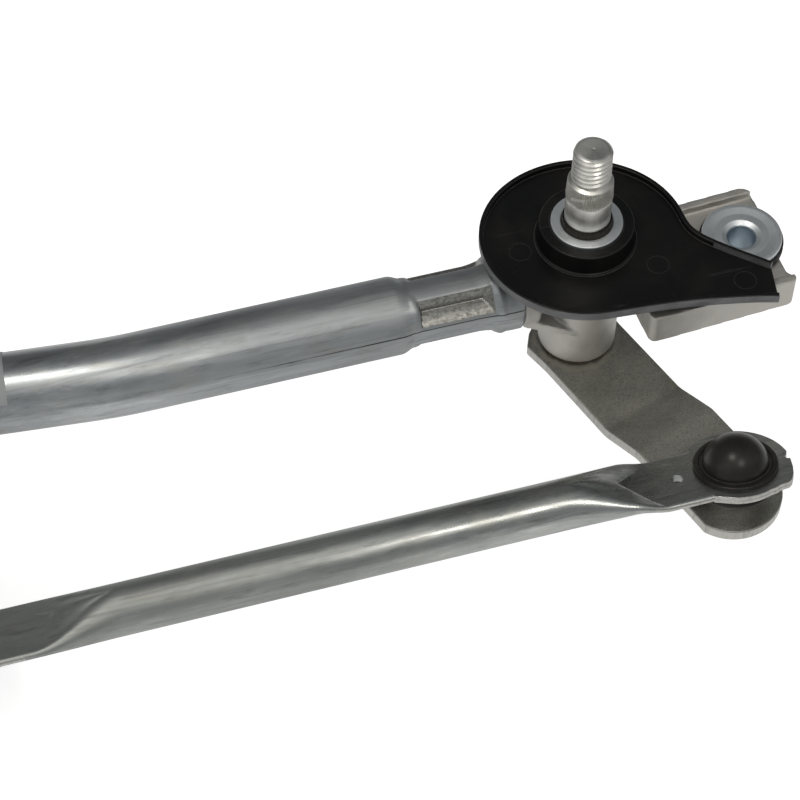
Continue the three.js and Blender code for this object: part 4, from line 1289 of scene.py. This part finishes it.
def hexagon(bottom, top, across, hole=0.0, chamfer=0.6):
    """A hexagon with its corners chamfered at both ends, bored if it is a nut."""
    def flat_radius(angle):
        sector = math.pi / 3
        return across / 2 / math.cos((angle % sector) - sector / 2)

    segments = 144
    angles = [2 * math.pi * k / segments for k in range(segments)]

    def ring(z, cap):
        reaches = [(a, min(flat_radius(a), cap)) for a in angles]
        return [(r * math.cos(a), r * math.sin(a), z) for a, r in reaches]

    half = across / 2
    levels = [(bottom, half * 0.985), (bottom + chamfer * 0.5, half * 1.08), (bottom + chamfer, half * 1.2),
              (top - chamfer, half * 1.2), (top - chamfer * 0.5, half * 1.08), (top, half * 0.985)]
    rings = [ring(z, cap) for z, cap in levels]
    if not hole:
        return loft(rings)
    bore = [[(r * math.cos(a), r * math.sin(a), z) for a in angles]
            for r, z in ((hole + 0.5, top), (hole, top - 0.5), (hole, bottom + 0.5), (hole + 0.5, bottom))]
    return loft(rings + bore, loop=True)


def motor_screw():
    top = PLATE_TOP + 0.05
    shank = cylinder(2.75, CASTING_TOP - 10, top + 0.5, 48)
    washer = turned([(0, top), (5.6, top, 0.2), (5.2, top + 0.9, 0.3), (0, top + 0.9)], 3, 72)
    head = hexagon(top + 0.6, top + 4.2, 8.0)
    return combined(mesh_of(shank), [mesh_of(washer), mesh_of(head)], "UNION")


def output_shaft():
    """Motor output: plain journal, a seat for the crank, and a threaded end."""
    root, crest, pitch, low, top = 3.45, 3.98, 1.25, CRANK_HIGH + 0.1, 11.0
    rows = [(0.0, -55.0), (4.7, -55.0), (5.0, -54.7), (5.0, -0.5), (4.6, -0.4), (4.6, low - 0.1)]
    rows += [(root, z) for z in np.arange(low, top - 0.1, 0.09)] + [(3.0, top), (0.0, top)]
    verts, faces = lathe(rows, 144)
    out = []
    for x, y, z in verts:
        radius = math.hypot(x, y)
        if low <= z < top - 0.05 and radius > 3.2:
            angle = math.atan2(y, x)
            wave = thread_wave(z / pitch - angle / (2 * math.pi))
            grown = min(root + (crest - root) * wave, 3.4 + (top - z))
            x, y = x * grown / radius, y * grown / radius
        out.append((x, y, z))
    return mesh_of((out, faces))


def keep_cad(node, material):
    """A hidden inner piece keeps its CAD shape and gets a real surface."""
    obj = frame["nodes"][node]
    obj.data.materials.clear()
    obj.data.materials.append(material)


def build_motor():
    place = local_frame(MOTOR.x, MOTOR.y, FOOT_Z)
    rear = place @ Matrix.Translation((0, REAR_MOUNT_Y, 0))
    far_off = Vector((0, 1, 0))

    def fixed(node, mesh, slot, materials, at=place, **shading):
        finished(node, mesh, at, "frame", slot, materials, **shading)

    plate_skin = pressed("motor_plate_skin", far_off, (0.2, 0.205, 0.2))
    fixed("motor_plate", motor_plate(), "pressed_steel", [plate_skin], sharp=40)
    collar = grommet(GROMMET_HOLE, PLATE_BOTTOM, PLATE_TOP, PLATE_BOTTOM - 3.5, PLATE_TOP + 2.0)
    fixed("motor_grommet", collar, "rubber", [RUBBER], rear)
    sleeve = mount_sleeve(PLATE_BOTTOM - 6, PLATE_TOP + 3.3)
    fixed("motor_mount_sleeve", sleeve, "zinc_plated", [ZINC, SHADED_BORE_ZINC], rear)
    fixed("gear_housing", gear_housing(), "die_cast", [CASTING], sharp=40, weighted=False)
    fixed("gear_cover", gear_cover(), "black_plastic", [PLASTIC])
    fixed("output_bush", ring_part(5.15, 7.1, -30, -8.1), "bronze", [BRONZE])
    can = mesh_of(along_worm(motor_yoke()))
    fixed("motor_yoke", can, "painted_can", [PAINT], sharp=50, weighted=False)
    fixed("motor_connector", connector(), "black_plastic", [PLASTIC])
    for i, (x, y) in enumerate(screw_places()):
        at = place @ Matrix.Translation((x, y, 0))
        fixed(f"motor_screw_{i + 1}", motor_screw(), "zinc_plated", [ZINC], at, sharp=30)
    for node, material, slot in (("magnet_a", FERRITE, "ferrite"), ("magnet_b", FERRITE, "ferrite"),
                                 ("brush_holder", ACETAL, "gear_plastic"), ("armature", CORE, "armature"),
                                 ("output_gear", ACETAL, "gear_plastic")):
        keep_cad(node, material)

    crank = local_frame(MOTOR.x, MOTOR.y, FOOT_Z, CRANK_REST)

    def turning(node, mesh, slot, materials, at=crank, **shading):
        finished(node, mesh, at, "motor_crank", slot, materials, **shading)

    skins = [pressed("motor_crank_skin", far_off), EDGE]
    turning("motor_crank", crank_arm(4.65, False), "pressed_steel", skins, sharp=50)
    turning("output_shaft", output_shaft(), "machined_steel", [MACHINED], sharp=50, weighted=False)
    nut = mesh_of(hexagon(CRANK_HIGH + 0.05, 9.4, 13.0, 4.05, chamfer=0.9))
    turning("crank_nut", nut, "zinc_plated", [ZINC], sharp=30)
    ball = crank @ Matrix.Translation((CRANK_RADIUS, 0, CRANK_HIGH))
    turning("double_ball_stud", double_ball_stud(), "machined_steel", [MACHINED], ball)


# ---- the assembly ----
RIGHT_FRAME = local_frame(RIGHT.x, RIGHT.y, FOOT_Z)
build_frame_tube()
build_label()
build_pivot("right", RIGHT, 1)
build_pivot("left", LEFT, -1)
build_link("right", RIGHT_BALL, RIGHT_BALL + MOTOR - RIGHT, LINK_ROLL, "right_link")
build_link("left", LEFT_BALL, LEFT_BALL + MOTOR - LEFT, math.pi, "left_link")
build_motor()


# ---- stage ----
# Studio brightness by the angle in degrees from the far horizon, over the top, to the near one.
STUDIO = [(0, 0.17), (20, 0.13), (50, 0.15), (74, 0.26), (96, 0.5), (108, 0.6), (117, 0.66), (122, 0.64),
          (132, 0.46), (146, 0.28), (165, 0.33), (180, 0.5)]
FLOOR_GLOW = 0.34
WHITE_FOR_CAMERA = 0.42
FLOOR_GAP = 0.012  # the floor lies this far below the lowest part, in metres
WARM_WHITE = (1, 0.96, 0.89)
LAMPS = [  # name, place, target, side of the square lamp, power in watts
    ("key", (0.1, -0.53, 0.82), (-0.08, -0.05, -0.06), 0.2, 1.1),
    ("fill", (-0.3, -0.06, 0.95), (-0.17, 0, -0.05), 0.13, 1.9),
]
CAMERA_PLACE = (-0.1498, -0.3610, 0.42525)
CAMERA_AIM = (0.1610, 0.5711, -0.8049)
CAMERA_LENS = 108  # focal length on a sensor 36 mm wide


def build_floor():
    floor_z = cad_box[0].z - FLOOR_GAP
    bpy.ops.mesh.primitive_grid_add(x_subdivisions=8, y_subdivisions=8, size=8, location=(0, 0, floor_z))
    floor = bpy.context.object
    floor.name = "floor"
    paper = Surface("floor_paper", Roughness=0.9)
    paper.set(Base_Color=paper.mix((0.84, 0.84, 0.84), (0.82, 0.82, 0.82), paper.noise(6, 2)))
    seen = paper.node("ShaderNodeLightPath").outputs["Is Camera Ray"]
    glow = paper.plus(paper.times(seen, WHITE_FOR_CAMERA), FLOOR_GLOW)
    paper.set(Emission_Color=(1, 1, 1), Emission_Strength=glow)
    floor.data.materials.append(paper.material)


def build_world():
    world = bpy.data.worlds.new("studio")
    bpy.context.scene.world = world
    world.use_nodes = True
    tree = world.node_tree
    back = tree.nodes["Background"]

    def node(kind, settings=None, **inputs):
        return add_node(tree, kind, settings, **inputs)

    split = node("ShaderNodeSeparateXYZ", i0=node("ShaderNodeTexCoord").outputs["Generated"])
    x, y, z = split.outputs
    angle = node("ShaderNodeMath", {"operation": "ARCTAN2"}, i0=z, i1=y).outputs[0]
    share = node("ShaderNodeMath", {"operation": "DIVIDE"}, i0=angle, i1=math.pi).outputs[0]
    ramp = node("ShaderNodeValToRGB", i0=share)
    stops = ramp.color_ramp.elements
    brightest = max(level for _, level in STUDIO)
    for i, (degrees, level) in enumerate(STUDIO):
        stop = stops[i] if i < 2 else stops.new(degrees / 180)
        stop.position = degrees / 180
        warm = (1.0, 0.975, 0.93) if level > 0.55 else (0.95, 0.985, 1.0)
        stop.color = (*(level / brightest * c for c in warm), 1)
    left, right = 1.35 * brightest, 0.62 * brightest
    side = node("ShaderNodeMapRange", i0=x, i1=-1.0, i2=1.0, i3=left, i4=right).outputs[0]
    feed(tree, back, {"i0": ramp.outputs[0], "i1": side})
    plain = node("ShaderNodeBackground", i0=(1, 1, 1, 1))
    seen = node("ShaderNodeLightPath").outputs["Is Camera Ray"]
    choose = node("ShaderNodeMixShader", i0=seen, i1=back.outputs[0], i2=plain.outputs[0])
    feed(tree, tree.nodes["World Output"], {"i0": choose.outputs[0]})


def area_light(name, place, target, side, power):
    lamp = bpy.data.lights.new(name, "AREA")
    lamp.shape = "RECTANGLE"
    lamp.size = side
    lamp.size_y = side
    lamp.energy = power
    lamp.color = WARM_WHITE
    obj = bpy.data.objects.new(name, lamp)
    obj.location = place
    obj.rotation_euler = (Vector(target) - Vector(place)).to_track_quat("-Z", "Y").to_euler()
    bpy.context.scene.collection.objects.link(obj)


def build_camera():
    lens = bpy.data.cameras.new("camera")
    lens.lens = CAMERA_LENS
    lens.sensor_width = 36
    lens.clip_start, lens.clip_end = 0.02, 20
    camera = bpy.data.objects.new("camera", lens)
    camera.location = CAMERA_PLACE
    camera.rotation_mode = "QUATERNION"
    camera.rotation_quaternion = Vector(CAMERA_AIM).to_track_quat("-Z", "Y")
    bpy.context.scene.collection.objects.link(camera)
    bpy.context.scene.camera = camera


build_floor()
build_world()
for lamp_values in LAMPS:
    area_light(*lamp_values)
build_camera()
bpy.context.scene.view_settings.view_transform = "Standard"
